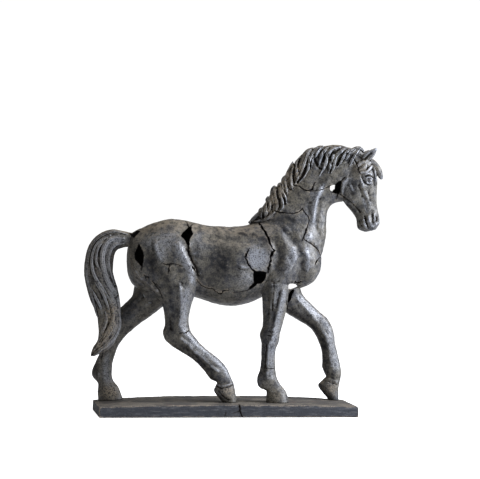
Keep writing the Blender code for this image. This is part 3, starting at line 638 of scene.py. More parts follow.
# the cracks on each side, as the first arguments of Crack
CRACKS = {
    Side.NEAR: [
        ([(62, 379), (66, 374), (70, 368), (77, 358), (82, 347), (88, 332), (96, 324)],
         (2.2, 3.0, 2.8, 3.2, 3.0, 3.2, 2.2), 14),
        ([(94, 326), (88, 315), (86, 300), (83, 290), (83, 280)], (2.6, 3.0, 2.4, 2.6, 1.6), 12),
        ([(45, 329), (42, 324), (37, 314), (37, 308), (45, 292), (57, 281)], (0.8, 1.4, 3.0, 2.6, 2.4, 2.0),
         9),
        ([(-79, 336), (-78, 326), (-77, 318), (-73, 309), (-69, 301), (-62, 290)],
         (3.4, 2.8, 2.4, 1.8, 1.0, 0.5), 9),
        ([(-84, 379), (-81, 374), (-79, 368)], (0.5, 1.4, 2.2)),
        ([(-71, 374), (-74, 370), (-76, 366)], (0.5, 1.2, 1.6)),
        ([(-61, 266), (-56, 259), (-50, 253), (-38, 248), (-28, 247), (-18, 239), (-12, 238), (-6, 243),
          (5, 245)],
         (0.4, 0.9, 0.8, 0.7, 0.9, 1.3, 1.5, 1.0, 0.4)),
        ([(12, 240), (30, 242), (46, 247)], (0.3, 0.6, 1.0)),
        ([(-131, 298), (-124, 295), (-118, 294), (-108, 296), (-97, 293), (-88, 291)],
         (0.5, 1.0, 1.3, 1.0, 0.9, 0.4)),
        ([(-113, 296), (-115, 289), (-118, 276)], (1.2, 2.2, 0.7)),
        ([(-71, 292), (-68, 288), (-63, 281)], (0.5, 2.2, 0.8)),
        ([(129, 455), (135, 454), (141, 453), (147, 450), (152, 446), (160, 445), (165, 444)],
         (0.8, 1.8, 1.2, 1.8, 1.4, 1.6, 1.4)),
        ([(163, 444), (168, 448), (171, 453), (175, 462)], (1.2, 2.4, 2.2, 0.6)),
        ([(168, 444), (180, 446), (192, 449), (206, 456)], (0.7, 0.9, 0.8, 0.5)),
        ([(92, 403), (100, 401), (120, 399), (138, 400), (150, 408)], (0.8, 1.4, 1.3, 1.3, 0.6)),
        ([(148, 410), (152, 404), (157, 398), (162, 390), (163, 382), (159, 370), (157, 361), (153, 352),
          (151, 344)],
         (1.0, 1.5, 1.8, 1.0, 1.2, 2.6, 3.0, 1.8, 1.0), 8),
        ([(154, 348), (160, 344), (165, 341), (175, 334), (183, 326), (188, 316)],
         (0.8, 1.6, 1.4, 1.4, 1.6, 0.8)),
        ([(186, 312), (181, 304), (177, 297)], (0.8, 2.0, 0.6)),
        ([(223, 441), (220, 435), (218, 428)], (1.6, 1.2, 0.6)),
        ([(226, 439), (236, 432), (247, 424), (256, 418)], (1.0, 0.9, 0.7, 0.4)),
        ([(257, 501), (261, 494), (262, 487), (268, 479)], (0.5, 1.3, 1.2, 0.5)),
        ([(-170, 294), (-170, 288), (-171, 281)], (2.0, 1.6, 0.6)),
        ([(-166, 273), (-161, 270), (-155, 267)], (0.6, 1.8, 0.6)),
        ([(-150, 262), (-143, 255), (-134, 242), (-127, 226)], (0.4, 1.0, 0.9, 0.4)),
        ([(136, 262), (144, 261), (153, 264)], (3.2, 2.6, 0.8), 12),
        ([(120, 225), (121, 216), (123, 208)], (2.2, 1.2, 0.5)),
        ([(-94, 158), (-86, 160), (-79, 161), (-73, 165), (-69, 169)], (0.4, 0.9, 1.2, 1.0, 0.4), 4),
        ([(72, 95), (79, 92), (86, 92.5), (93, 94)], (0.4, 0.9, 0.9, 0.4), 3, -30.0),
        ([(-217, 262), (-220, 255), (-219, 248)], (0.4, 1.4, 0.5), 4),
        ([(-213, 236), (-217, 230), (-222, 226)], (1.0, 1.4, 0.4), 4),
    ],
    Side.FAR: [
        ([(58, 380), (66, 366), (74, 350), (80, 334), (78, 316), (70, 300)], (1.8, 2.4, 2.0, 2.4, 1.6, 0.6),
         9),
        ([(-96, 372), (-90, 352), (-84, 334), (-76, 316), (-70, 296)], (0.8, 1.8, 2.2, 1.4, 0.5), 8),
        ([(-40, 258), (-22, 250), (-4, 252), (16, 244), (34, 247)], (0.5, 1.3, 1.6, 1.2, 0.5), 6),
        ([(104, 410), (122, 404), (140, 408), (158, 396), (166, 380)], (0.8, 1.3, 1.2, 1.6, 0.6), 6),
        ([(-134, 306), (-120, 298), (-104, 300), (-92, 292)], (0.5, 1.2, 1.2, 0.5), 6),
        ([(150, 452), (166, 446), (182, 450), (196, 444)], (0.6, 1.3, 1.0, 0.5), 6),
        ([(0, 350), (8, 334), (4, 318), (14, 304)], (0.5, 1.4, 1.2, 0.5), 6),
    ],
}


@dataclass(frozen=True)
class Hole:
    """A piece missing from the skin: its ragged outline, and how deep the space behind it is seen."""

    name: str
    outline: Line
    deep: float
    chamber: tuple[float, float, float] | None = None    # half sizes of the hollow behind, mm
    through: bool = False


HOLES = [
    Hole("flank", [(-78, 370.5), (-72, 369.5), (-73, 362), (-69, 355), (-73, 349), (-76.5, 342), (-77, 329),
                   (-81.5, 334), (-84, 340), (-88, 345.5), (-93.5, 350.5), (-89, 358), (-83, 364)], 20,
                   (20, 20, 16)),
    Hole("buttock", [(-176, 335), (-172, 327), (-168.5, 320), (-166, 310), (-167, 300), (-169, 288),
                     (-173, 292), (-177, 297), (-183, 303), (-184.5, 315), (-182, 321), (-179, 328)], 26,
                     (13, 18, 22)),
    Hole("elbow", [(54, 285), (60, 283), (66, 283.5), (79, 281.5), (78, 272), (74, 264), (68, 258.5),
                   (61, 258), (55, 252), (46, 246), (43, 249), (50, 256), (54.5, 261), (53, 268),
                   (52.5, 277)], 18, (18, 18, 16)),
    Hole("throat", [(215, 457), (218, 461), (222, 464), (226, 466), (228.5, 462), (227, 455), (226, 448),
                    (225, 442), (221, 439.5), (214, 440.5), (208.5, 443), (211, 446), (214, 449)], 15,
                    (9, 9, 11)),
    Hole("tail_root", [(-197, 355), (-190, 356), (-182, 360), (-174, 358), (-180, 352), (-186, 345),
                       (-190, 348)], 8),
    Hole("throat_eye", [(204.5, 450), (205, 454), (208, 456), (212, 457), (215.5, 457), (215.5, 451),
                        (213.5, 446), (210, 443.5), (206, 446)], 0, None, True),
    Hole("chest_gap", [(124, 249), (124, 256), (127, 259), (133, 259), (139, 257.5), (142, 254), (138, 252),
                       (133, 250), (128, 248)], 0, None, True),
    Hole("foreleg_gap", [(130, 247), (136, 247), (133, 239), (129, 227), (125, 222), (122, 223), (122, 231),
                         (126, 240)], 34),
]


class Tone(Enum):
    """What the paint does at a patch; some patches are painted shade and painted highlights."""

    STAIN = "stain"      # darker, bluer washes: stains, and painted shade on shaded faces and in grooves
    WORN = "worn"        # worn through by rubbing to a paler grey, and painted highlights on faces that catch the light
    DUST = "dust"        # beige dry-brushed dust


@dataclass(frozen=True)
class Patch:
    """A soft-edged place of one tone, where it lines up from the viewpoint; sizes in mm, tilt in degrees."""

    centre: Point
    size: tuple[float, float]
    amount: float = 1.0
    tilt: float = 0.0
    reach: Reach = WHOLE


# the patches of each tone, as the arguments of Patch
PATCHES = {
    # stains, mixed with painted shade: the dark hollows of shoulder and arm, the haunch's shaded edge and the
    # shadow under the near hind hoof
    Tone.STAIN: [
        ((-12, 302), (28, 50), 1.2), ((50, 353), (48, 9), 0.8, -8), ((122, 386), (26, 12)),
        ((105, 314), (15, 20)), ((146, 320), (9, 30)), ((-152, 300), (14, 30), 1.3),
        ((-30, 270), (40, 14), 0.7), ((-60, 320), (12, 30), 0.8), ((196, 440), (10, 22), 0.6),
        ((142, 440), (12, 9), 0.8), ((-104, 340), (12, 9)), ((-156, 318), (8, 24)),
        ((-142, 358), (22, 6), 0.8, 12), ((-118, 262), (14, 20), 0.8), ((150, 300), (8, 26)),
        ((103, 300), (9, 26)), ((182, 345), (10, 14), 0.8), ((0, 29), (14, 5), 1.2, -10, NEAR_ONLY),
    ],
    # paler places of rubbing, mixed with painted highlights: the bright shard, the haunch's front ridge, the
    # neck and shoulder streaks and the right-facing fronts of the legs
    Tone.WORN: [
        ((-131, 319), (11, 20), 1.2), ((-116, 352), (18, 6), 0.8, 10), ((62, 309), (22, 24), 1.9),
        ((-95, 322), (10, 26), 1.0, 18), ((-55, 331), (24, 22), 0.3), ((38, 268), (20, 20), 0.7),
        ((165, 354), (8, 9), 1.3), ((172, 400), (7, 40), 0.8), ((128, 310), (9, 26), 0.9, -14),
        ((-130, 340), (42, 18), 0.9), ((60, 372), (12, 6), 0.5), ((-14, 372), (50, 6), 0.2),
        ((240, 455), (10, 20), 0.6), ((105, 240), (10, 34), 0.6), ((-80, 225), (10, 34), 0.7),
    ],
    Tone.DUST: [
        ((6, 44), (14, 13), 1.5, 0, NEAR_ONLY), ((216, 50), (11, 12), 1.1, 0, FAR_ONLY),
        ((105, 38), (16, 12), 0.5, 0, NEAR_ONLY), ((-225, 45), (18, 16), 2.0, 0, FAR_ONLY),
        ((270, 492), (14, 12), 1.0), ((296, 492), (14, 14), 0.3), ((-250, 150), (30, 40), 0.9),
        ((-250, 300), (40, 70), 0.5), ((84, 345), (8, 40), 0.5), ((-82, 352), (9, 22), 0.5),
    ],
}


@dataclass(frozen=True)
class Band:
    """A soft band of one tone along a line, where it lines up from the viewpoint; width is half of it, mm."""

    line: Line
    width: float
    amount: float = 1.0
    reach: Reach = WHOLE


# the bands of each tone, as the arguments of Band, from the legs over body, neck and head to tail and mane
BANDS = {
    # painted shade for the most part: the shaded left sides of legs and tail, the grooves of neck, face and
    # mouth, under the jaw, at the ear bases and beside the forelock; with stains among it
    Tone.STAIN: [
        ([(-116, 262), (-111, 235), (-109, 205), (-108, 175), (-110, 156)], 10, 1.0, NEAR_ONLY),
        ([(-108, 148), (-85, 131), (-62, 113), (-40, 91), (-24, 76), (-14, 66)], 7, 1.0, NEAR_ONLY),
        ([(84, 250), (84, 215), (82, 185), (79, 155), (78, 125), (77, 95), (73, 70)], 7, 0.9, NEAR_ONLY),
        ([(107, 248), (103, 226), (99, 208), (94, 170), (91, 158)], 4, 1.0, NEAR_ONLY),
        ([(126, 212), (155, 191), (180, 168), (195, 146), (202, 118), (206, 90)], 7.5, 1.0, FAR_ONLY),
        ([(-165, 245), (-190, 218), (-215, 190), (-232, 160), (-238, 135)], 13, 0.6, FAR_ONLY),
        ([(-254, 100), (-256, 78), (-248, 50)], 6, 0.7, FAR_ONLY),
        ([(-152, 335), (-149, 312), (-138, 290), (-122, 268), (-108, 255)], 8, 0.9),
        ([(14, 358), (40, 356), (66, 350), (84, 338)], 6.5, 1.1),
        ([(106, 376), (122, 354), (138, 334)], 10, 1.1),
        ([(130, 276), (146, 272), (152, 290), (153, 312), (148, 330)], 8, 0.9),
        ([(196, 478), (194, 463), (180, 452)], 8, 0.9),
        ([(164, 438), (160, 416), (165, 396)], 6, 0.9),
        ([(226, 434), (241, 422), (256, 406), (266, 392)], 5.5, 0.9),
        ([(240, 466), (250, 450), (262, 432)], 9, 1.2),
        ([(256, 510), (264, 513), (273, 509)], 5, 0.9),
        ([(291, 502), (294, 486), (296, 469), (297, 452)], 3, 1.0),
        ([(291, 412), (292, 398), (294, 386)], 3, 0.9),
        ([(277, 398), (280, 385), (285, 371)], 3, 1.1),
        ([(-225, 358), (-256, 345), (-273, 320), (-279, 290), (-277, 258), (-268, 228), (-260, 205),
          (-254, 178)], 5.5, 0.9),
    ],
    # painted highlights for the most part: the right-facing fronts of the legs, the haunch's front ridge, the
    # shoulder streaks, the neck ridge, the face crest and the tail strands; with places of rubbing among them
    Tone.WORN: [
        ([(-78, 250), (-82, 225), (-83, 195), (-85, 170), (-76, 154), (-58, 136), (-38, 121), (-18, 105),
          (-2, 90), (8, 70)], 6.5, 0.95, NEAR_ONLY),
        ([(117, 248), (113, 222), (108, 196), (102, 168), (96, 142), (93, 115), (92, 90), (91, 68)], 5, 0.9,
         NEAR_ONLY),
        ([(144, 235), (168, 211), (191, 188), (208, 165), (214, 140), (220, 114), (226, 88)], 6.5, 0.8,
         FAR_ONLY),
        ([(-236, 118), (-238, 90), (-236, 66), (-226, 48)], 6, 0.8, FAR_ONLY),
        ([(-104, 340), (-96, 318), (-84, 295), (-72, 273), (-67, 256)], 6.5, 1.3),
        ([(-143, 335), (-139, 315), (-130, 302)], 3.5, 1.0),
        ([(127, 332), (134, 315), (131, 300)], 5, 1.3),
        ([(160, 330), (163, 305), (161, 284)], 4, 1.3),
        ([(192, 455), (181, 436), (175, 414), (172, 380)], 4.4, 2.0),
        ([(272, 432), (279, 416), (284, 402)], 3, 1.0),
        ([(-206, 342), (-232, 334), (-243, 316), (-242, 293), (-237, 270), (-228, 250), (-221, 228),
          (-215, 200), (-216, 172), (-226, 150), (-244, 130)], 8.5, 1.8),
        ([(-236, 348), (-257, 333), (-268, 308), (-266, 280), (-254, 258), (-243, 238)], 2.2, 1.0),
    ],
    Tone.DUST: [
        ([(-60, 266), (-50, 254), (-30, 248), (-12, 241), (4, 247)], 3, 1.1),
        ([(-195, 335), (-194, 305), (-186, 280), (-165, 258), (-135, 240)], 6, 0.4),
        ([(-226, 218), (-225, 192), (-229, 166), (-240, 146), (-254, 124)], 13, 1.9),
        ([(72, 395), (88, 420), (104, 442), (122, 470), (150, 500)], 16, 1.5),
    ],
}


def soft(low: float, high: float, value: np.ndarray) -> np.ndarray:
    """A smooth step from 0 at low to 1 at high."""
    t = np.clip((value - low) / (high - low), 0, 1)
    return t * t * (3 - 2 * t)


def lumps(points: np.ndarray, size: float, seed: int) -> np.ndarray:
    """Smooth random values from -1 to 1, about one lump in each size."""
    table = np.random.default_rng(seed).uniform(-1, 1, 8192)
    grid = points / size
    cell = np.floor(grid).astype(np.int64)
    part = grid - cell
    part = part * part * (3 - 2 * part)
    total = np.zeros(len(points))
    for corner in np.ndindex(2, 2, 2):
        spot = cell + corner
        index = (spot[:, 0] * 73856093 ^ spot[:, 1] * 19349663 ^ spot[:, 2] * 83492791) % len(table)
        total += table[index] * np.where(corner, part, 1 - part).prod(1)
    return total


def measure(points: np.ndarray, line: np.ndarray) -> tuple[np.ndarray, np.ndarray, float]:
    """How points lie to a line.

    Args:
        points: x and z of each point.
        line: x and z of the line's points in order.

    Returns:
        The distance to the line, positive on its left; how far along the nearest spot is; the line's length.
    """
    step = np.diff(line, axis=0)
    length = np.hypot(step[:, 0], step[:, 1])
    run = np.concatenate([[0], np.cumsum(length)])
    best, signed, along = (np.full(len(points), v) for v in (1e9, 0.0, 0.0))
    for start, way, long, done in zip(line, step, length, run):
        rel = points - start
        share = np.clip(rel @ way / max(long * long, 1e-9), 0, 1)
        off = rel - share[:, None] * way
        gap = np.hypot(off[:, 0], off[:, 1])
        closer = gap < best
        side = np.sign(way[0] * rel[:, 1] - way[1] * rel[:, 0])
        best = np.where(closer, gap, best)
        signed = np.where(closer, gap * side, signed)
        along = np.where(closer, done + share * long, along)
    return signed, along, float(run[-1])


class Skin:
    """A fine mesh as arrays: where its points are, which way they face, and how far each is to be pushed."""

    def __init__(self, mesh: bpy.types.Mesh) -> None:
        count = len(mesh.vertices)
        self.mesh = mesh
        self.points = np.empty(count * 3, np.float32)
        mesh.vertices.foreach_get("co", self.points)
        self.points = self.points.reshape(-1, 3).astype(float) / MM
        self.normals = np.empty(count * 3, np.float32)
        mesh.vertex_normals.foreach_get("vector", self.normals)
        self.normals = self.normals.reshape(-1, 3).astype(float)
        self.edges = np.empty(len(mesh.edges) * 2, np.int32)
        mesh.edges.foreach_get("vertices", self.edges)
        self.edges = self.edges.reshape(-1, 2)
        self.lift = np.zeros(count)
        self.views: dict[tuple[float, Side], tuple[np.ndarray, np.ndarray, np.ndarray]] = {}

    def seen(self, plane: float, side: Side) -> tuple[np.ndarray, np.ndarray, np.ndarray]:
        """Where the points line up on a plane, how much they face that side's eye, and their depth."""
        if (plane, side) not in self.views:
            eye = VIEW.ray(0, 0, 0, side)[0]
            way = np.array(eye) - self.points
            way /= np.linalg.norm(way, axis=1)[:, None]
            facing = soft(-0.1, 0.35, (way * self.normals).sum(1))
            depth = self.points[:, 1] if side is Side.NEAR else 2 * MID_Y - self.points[:, 1]
            self.views[plane, side] = VIEW.flatten(self.points, plane, side), facing, depth
        return self.views[plane, side]

    def near(self, line: np.ndarray, margin: float, reach: Reach,
             side: Side) -> tuple[np.ndarray, np.ndarray, np.ndarray]:
        """The points near a line: their numbers, their place on the plane, and how much they face the eye."""
        flat, facing, level = self.seen(reach.plane, side)
        inside = ((flat > line.min(0) - margin) & (flat < line.max(0) + margin)).all(1)
        index = np.nonzero(inside & (facing > 0) & (level > reach.depth[0]) & (level < reach.depth[1]))[0]
        return index, flat[index], facing[index]

    def model(self, stroke: Stroke, side: Side) -> None:
        """Add one stroke to what the points are pushed by."""
        line = np.array(smooth_line(stroke.line))
        index, flat, facing = self.near(line, 3.2 * stroke.width, stroke.reach, side)
        if not len(index):
            return
        across, along, length = measure(flat, line)
        end = min(0.3 * length, 3 * stroke.width)
        taper = soft(0, 1, np.minimum(along, length - along) / end) if length > stroke.width else 1.0
        shape = np.exp(-1.2 * (across / stroke.width) ** 2)
        self.lift[index] += stroke.lift * shape * taper * facing

    def push(self) -> None:
        """Move the points along their normals by what was modelled, and start again from there."""
        self.points += self.normals * self.lift[:, None]
        self.lift[:] = 0
        self.mesh.vertices.foreach_set("co", (self.points * MM).astype(np.float32).ravel())
        self.mesh.update()

    def rises(self, rounds: Sequence[int]) -> list[np.ndarray]:
        """How far each point stands above its surroundings, in mm.

        Args:
            rounds: How many times the skin is averaged with its neighbours for each answer, in rising order.

        Returns:
            One array for each, the even roundness of the form taken off.
        """
        a, b = self.edges.T
        total = len(self.points)
        count = np.maximum(np.bincount(a, minlength=total) + np.bincount(b, minlength=total), 1)
        soft_points, made = self.points, {}
        for i in range(1, 4 * rounds[-1] + 1):
            soft_points = np.stack([(np.bincount(a, v[b], total) + np.bincount(b, v[a], total)) / count
                                    for v in soft_points.T], 1)
            if i in rounds or i // 4 in rounds:
                made[i] = ((self.points - soft_points) * self.normals).sum(1)
        return [made[i] - made[4 * i] / 4 for i in rounds]


@dataclass
class Tones:
    """What the paint needs to know at each point of the skin."""

    points: np.ndarray
    values: dict[str, np.ndarray] = field(default_factory=dict)

    def lay_on(self, mesh: bpy.types.Mesh) -> None:
        """Give a later, cut and thinned mesh the values of the nearest points."""
        tree = KDTree(len(self.points))
        for i, point in enumerate(self.points * MM):
            tree.insert(point, i)
        tree.balance()
        nearest = np.array([tree.find(v.co)[1] for v in mesh.vertices])
        for name, value in self.values.items():
            layer = mesh.attributes.new(name, "FLOAT", "POINT")
            layer.data.foreach_set("value", value[nearest].astype(np.float32))


def ring_frames(depth: float, table: list[Ring], between: int = 4) -> list[Matrix]:
    """Where unit circles go to draw a limb through its table of rings."""
    frames = []
    rings = [Vector((*a, *b, w, *(own or [depth]))) for a, b, w, *own in table]
    for ax, az, bx, bz, w, y in blend(rings, between):
        a, b = at(ax, y, az), at(bx, y, bz)
        u, v = (a - b) / 2, Vector((0, w * MM, 0))
        matrix = Matrix((u, v, u.cross(v).normalized() * MM)).transposed().to_4x4()
        matrix.translation = (a + b) / 2
        frames.append(matrix)
    return frames


def strand(bm: bmesh.types.BMesh, points: list[tuple[Vector, float, float]], outward: Vector,
           between: int = 4, sides: int = 12) -> None:
    """Draw a lock or an ear.

    Args:
        bm: The mesh it is added to.
        points: Position in metres, half width and half thickness in mm, in order.
        outward: The way its broad face looks.
        between: How many spans one span becomes.
        sides: Points round it.
    """
    rows = blend([Vector((*p, w, t)) for p, w, t in points], between)
    frames = []
    for i, row in enumerate(rows):
        ahead, behind = rows[min(i + 1, len(rows) - 1)], rows[max(i - 1, 0)]
        along = Vector((ahead - behind)[:3]).normalized()
        side = along.cross(outward).normalized()
        face = side.cross(along)
        wide, thick = side * max(row[3], 0.5) * MM, face * max(row[4], 0.4) * MM
        matrix = Matrix((wide, thick, along * MM)).transposed().to_4x4()
        matrix.translation = Vector(row[:3])
        frames.append(matrix)
    sweep(bm, frames, sides)


@dataclass
class Hair:
    """Locks that lie on a form, each where it lines up from the viewpoint."""

    bm: bmesh.types.BMesh
    tree: BVHTree
    side: Side
    thick: float
    lift: float
    stray: float = MID_Y - 3     # the depth of a lock where it passes beyond the form's outline

    def spot(self, x: float, z: float, share: float) -> Vector:
        """The place of a lock's middle line, in mm."""
        eye, way = VIEW.ray(x, z, 0.0, self.side)
        hit = self.tree.ray_cast(eye * MM, way)[0]
        if hit is None:
            return VIEW.place(x, z, self.stray, 0.0, self.side)
        return hit / MM - way * self.lift * (1.0 if 0.1 < share < 0.85 else 0.2)

    def lay(self, line: Line, width: float) -> None:
        """Lay one lock along its line, narrowing to its tip."""
        points = []
        path = smooth_line(line, 2)
        for i, (x, z) in enumerate(path):
            share = i / (len(path) - 1)
            grow = min(1.0, 0.4 + share * 4)
            if share >= 0.55:
                grow *= 1.0 - 0.85 * ((share - 0.55) / 0.45) ** 1.6
            points.append((self.spot(x, z, share), width * grow, self.thick * (0.35 + 0.65 * grow)))
        depths = [p.y for p, _, _ in points]
        windows = [sorted(depths[max(0, i - 2): i + 3]) for i in range(len(depths))]
        eye = VIEW.ray(0, 0, 0, self.side)[0]
        steady = []
        for (p, w, t), window in zip(points, windows):
            y = window[len(window) // 2]
            way = (p - eye).normalized()
            steady.append(((eye + way * ((y - eye.y) / way.y)) * MM, w, t))
        strand(self.bm, steady, Vector((0.15, float(self.side.value), 0)), 2)


@dataclass
class Piece:
    """A piece of the sculpture that shapes are cut out of."""

    obj: bpy.types.Object | None = None

    def take_out(self, name: str, bm: bmesh.types.BMesh, paint: bpy.types.Material | None) -> None:
        """Cut a closed shape out of the skin.

        Args:
            name: Of the cut.
            bm: The shape.
            paint: The material of the faces that the cut leaves.
        """
        tool = new_object(name, bm)
        if paint:
            tool.data.materials.append(paint)
        before = triangle_count(self.obj.data)
        for solver in ("MANIFOLD", "EXACT"):
            cut = self.obj.modifiers.new(name, "BOOLEAN")
            cut.operation, cut.solver, cut.object, cut.material_mode = "DIFFERENCE", solver, tool, "TRANSFER"
            seen = self.obj.evaluated_get(bpy.context.evaluated_depsgraph_get())
            after = triangle_count(seen.data)
            if after > 0.5 * before and after != before:
                break
            self.obj.modifiers.remove(cut)
        LOG.info("%s: %s, %d triangles", name, solver, after)
        apply_modifiers(self.obj)
        bpy.data.objects.remove(tool)

    def shade(self, angle: float) -> None:
        """Shade the skin smooth, but for edges that turn by more than an angle, in degrees."""
        for face in self.obj.data.polygons:
            face.use_smooth = True
        self.obj.data.set_sharp_from_angle(angle=math.radians(angle))

    def measure_breaks(self, whole: BVHTree) -> None:
        """Note how deep in the cast wall each point of the broken mesh is, and how near a break each is."""
        mesh = self.obj.data
        broken = set()
        for face in mesh.polygons:
            if face.material_index:
                broken.update(face.vertices)
        deep = np.zeros(len(mesh.vertices))
        rim = KDTree(max(len(broken), 1))
        for i in broken:
            co = mesh.vertices[i].co
            gap = whole.find_nearest(co)[3]
            deep[i] = (gap or 0) / MM
            rim.insert(co, i)
        rim.balance()
        near = np.array([rim.find(v.co)[2] / MM for v in mesh.vertices])
        for name, values in (("deep", deep), ("near_break", np.minimum(near, 20))):
            layer = mesh.attributes.new(name, "FLOAT", "POINT")
            layer.data.foreach_set("value", values.astype(np.float32))


# the unevenness of the hand-worked body: height and size of its lumps in mm, and what shuffles them
UNEVEN = ((0.42, 15, 3), (0.34, 6.5, 4), (0.16, 3.2, 5))


@dataclass(frozen=True)
class HorseSizes:
    """How fine the horse's skin is made."""

    grain: float = 1.1             # mm, a cell of the skin when the forms have flowed together
    triangles: int = 176_000       # of the skin, before holes and cracks are cut
    gape: float = 1.2              # how far the cracks gape over the widths they are listed with
    fill: float = 0.55             # mm, what smoothing took off and is given back
    sole_gap: float = 0.3          # mm, between hooves and plinth
    wall: float = 3.2              # mm, the cast wall left round a hollow
    margin: float = 0.15           # mm, how far the skin stays inside the CAD's box


@dataclass
class Horse(Piece):
    """The cast horse: forms that flow into one skin, modelled, cracked and broken."""

    sizes: HorseSizes = field(default_factory=HorseSizes)
    skin: Skin | None = None
    tones: Tones | None = None

    def block(self) -> None:
        """Draw limbs, muscles, hair and ears as overlapping closed forms."""
        bm = bmesh.new()
        for depth, table in LIMBS.values():
            sweep(bm, ring_frames(depth, table), 36)
        for x, y, z, rx, ry, rz, tilt in SWELLS:
            place = (Matrix.Translation(at(x, y, z)) @ Matrix.Rotation(math.radians(tilt), 4, "Y")
                     @ Matrix.Diagonal((rx * MM, ry * MM, rz * MM, 1)))
            bmesh.ops.create_uvsphere(bm, u_segments=40, v_segments=24, radius=1, matrix=place)
        self.grow_hair(bm)
        self.set_eyes(bm)
        self.obj = new_object("horse_skin", bm)
        LOG.info("blocked in: %d faces", len(self.obj.data.polygons))

    def grow_hair(self, bm: bmesh.types.BMesh) -> None:
        """Add the mane, the locks of the tail, the forelock and the ears."""
        tree = BVHTree.FromBMesh(bm)
        for side in Side:
            mane = Hair(bm, tree, side, 4.2, 2.2)
            tail = Hair(bm, tree, side, 3.8, 1.4, stray=MID_Y)
            keep = 1 if side is Side.NEAR else 2
            wider = 1.0 if side is Side.NEAR else 1.35
            for line, width in MANE_LOCKS[::keep]:
                mane.lay(line, width * wider)
            for line, width in TAIL_LOCKS[::keep]:
                tail.lay(line, width * wider)
            temple = Hair(bm, tree, side, 3.0, 1.6)
            for line, width in TEMPLE_LOCKS:
                temple.lay(line, width)
        Hair(bm, tree, Side.NEAR, 3.0, 0.0).lay(MANE_PEAK, 3.0)
        for table, outward in [(NEAR_EAR, (0.35, -1, 0)), (FAR_EAR, (0.35, 1, 0)),
                               *((t, (0.8, -0.5, 0.4)) for t in FORELOCKS)]:
            strand(bm, [(at(x, y, z), w, t) for x, y, z, w, t in table], Vector(outward))

    def set_eyes(self, bm: bmesh.types.BMesh) -> None:
        """Add the two eyeballs, half sunk in the head."""
        tree = BVHTree.FromBMesh(bm)
        for side in Side:
            eye, way = VIEW.ray(*EYE_SPOT, 0.0, side)
            hit = tree.ray_cast(eye * MM, way)[0] or VIEW.place(*EYE_SPOT, -6, 0.0, side) * MM
            place = Matrix.Translation(hit + way * 2.7 * MM) @ Matrix.Diagonal((4.8, 4.4, 3.9, 1))
            bmesh.ops.create_uvsphere(bm, u_segments=24, v_segments=16, radius=MM, matrix=place)

    def flow(self) -> None:
        """Let the forms run into one skin, and give back what the smoothing takes."""
        remesh = self.obj.modifiers.new("flow", "REMESH")
        remesh.mode, remesh.voxel_size = "VOXEL", self.sizes.grain * MM
        ease = self.obj.modifiers.new("ease", "SMOOTH")
        ease.factor, ease.iterations = 0.5, 3
        apply_modifiers(self.obj)
        self.skin = Skin(self.obj.data)
        self.skin.lift += self.sizes.fill
        self.skin.push()
        LOG.info("one skin of %d points", len(self.skin.points))

    def model(self) -> None:
        """Push every stroke into the skin, then the unevenness of the hand-worked surface."""
        skin = Skin(self.obj.data)
        for stroke in (Stroke(*row) for row in BODY_STROKES + LEG_STROKES):
            for side in stroke.reach.sides():
                skin.model(stroke, side)
        self.comb(skin)
        skin.push()
        skin = Skin(self.obj.data)
        body = 1 - soft(-196, -202, skin.points[:, 0])
        skin.lift += body * sum(high * lumps(skin.points, size, seed) for high, size, seed in UNEVEN)
        skin.lift += 0.22 * lumps(skin.points, 5.0, 6)
        skin.push()
        low, high = np.array(CAD_BOX, float) / MM
        skin.points[:] = np.clip(skin.points, low + self.sizes.margin, high - self.sizes.margin)
        skin.push()
        self.skin = Skin(self.obj.data)

    def comb(self, skin: Skin) -> None:
        """Part the bundles of the mane, and scratch strands along every lock."""
        rough = random.Random(5)
        for side in Side:
            for line, width, deep in MANE_VALLEYS:
                skin.model(Stroke(line, width, -deep), side)
            for line, width in MANE_LOCKS + TAIL_LOCKS:
                for share in (-0.42, 0.36) if width > 2.7 else (0.0,):
                    track = beside(line, width * (share + rough.uniform(-0.15, 0.15)))
                    skin.model(Stroke(track, rough.uniform(0.75, 1.05), -rough.uniform(0.7, 1.5)), side)

    def read_tones(self) -> None:
        """Measure ridges and hollows; lay out where the paint is worn, dusty or darkened by stains, and where
        painted shade and highlights go.
        """
        skin = self.skin
        fine, broad = skin.rises((6, 36))
        values = {"fine": fine, "broad": broad, "up": skin.normals[:, 2]}
        for tone in Tone:
            total = np.zeros(len(fine))
            for patch in (Patch(*row) for row in PATCHES[tone]):
                for side in patch.reach.sides():
                    flat, _, depth = skin.seen(patch.reach.plane, side)
                    turn = math.radians(patch.tilt)
                    x, z = (flat - patch.centre).T
                    u = (x * math.cos(turn) + z * math.sin(turn)) / patch.size[0]
                    v = (z * math.cos(turn) - x * math.sin(turn)) / patch.size[1]
                    low, high = patch.reach.depth
                    hit = np.exp(-1.3 * (u * u + v * v)) * ((depth > low) & (depth < high))
                    total = np.maximum(total, patch.amount * hit)
            for band in (Band(*row) for row in BANDS[tone]):
                line = np.array(smooth_line(band.line, 3))
                for side in band.reach.sides():
                    index, flat, facing = skin.near(line, 2.4 * band.width, band.reach, side)
                    across, along, length = measure(flat, line)
                    end = soft(-0.6, 1.2, np.minimum(along, length - along) / band.width)
                    hit = band.amount * np.exp(-1.2 * (across / band.width) ** 2) * end * facing
                    total[index] = np.maximum(total[index], hit)
            values[tone.value] = total
        self.tones = Tones(skin.points.copy(), values)

    def thin(self) -> None:
        """Bring the skin down to its triangle count."""
        step = self.obj.modifiers.new("thin", "DECIMATE")
        step.ratio = min(1.0, self.sizes.triangles / triangle_count(self.obj.data))
        apply_modifiers(self.obj)
        LOG.info("thinned to %d triangles", triangle_count(self.obj.data))

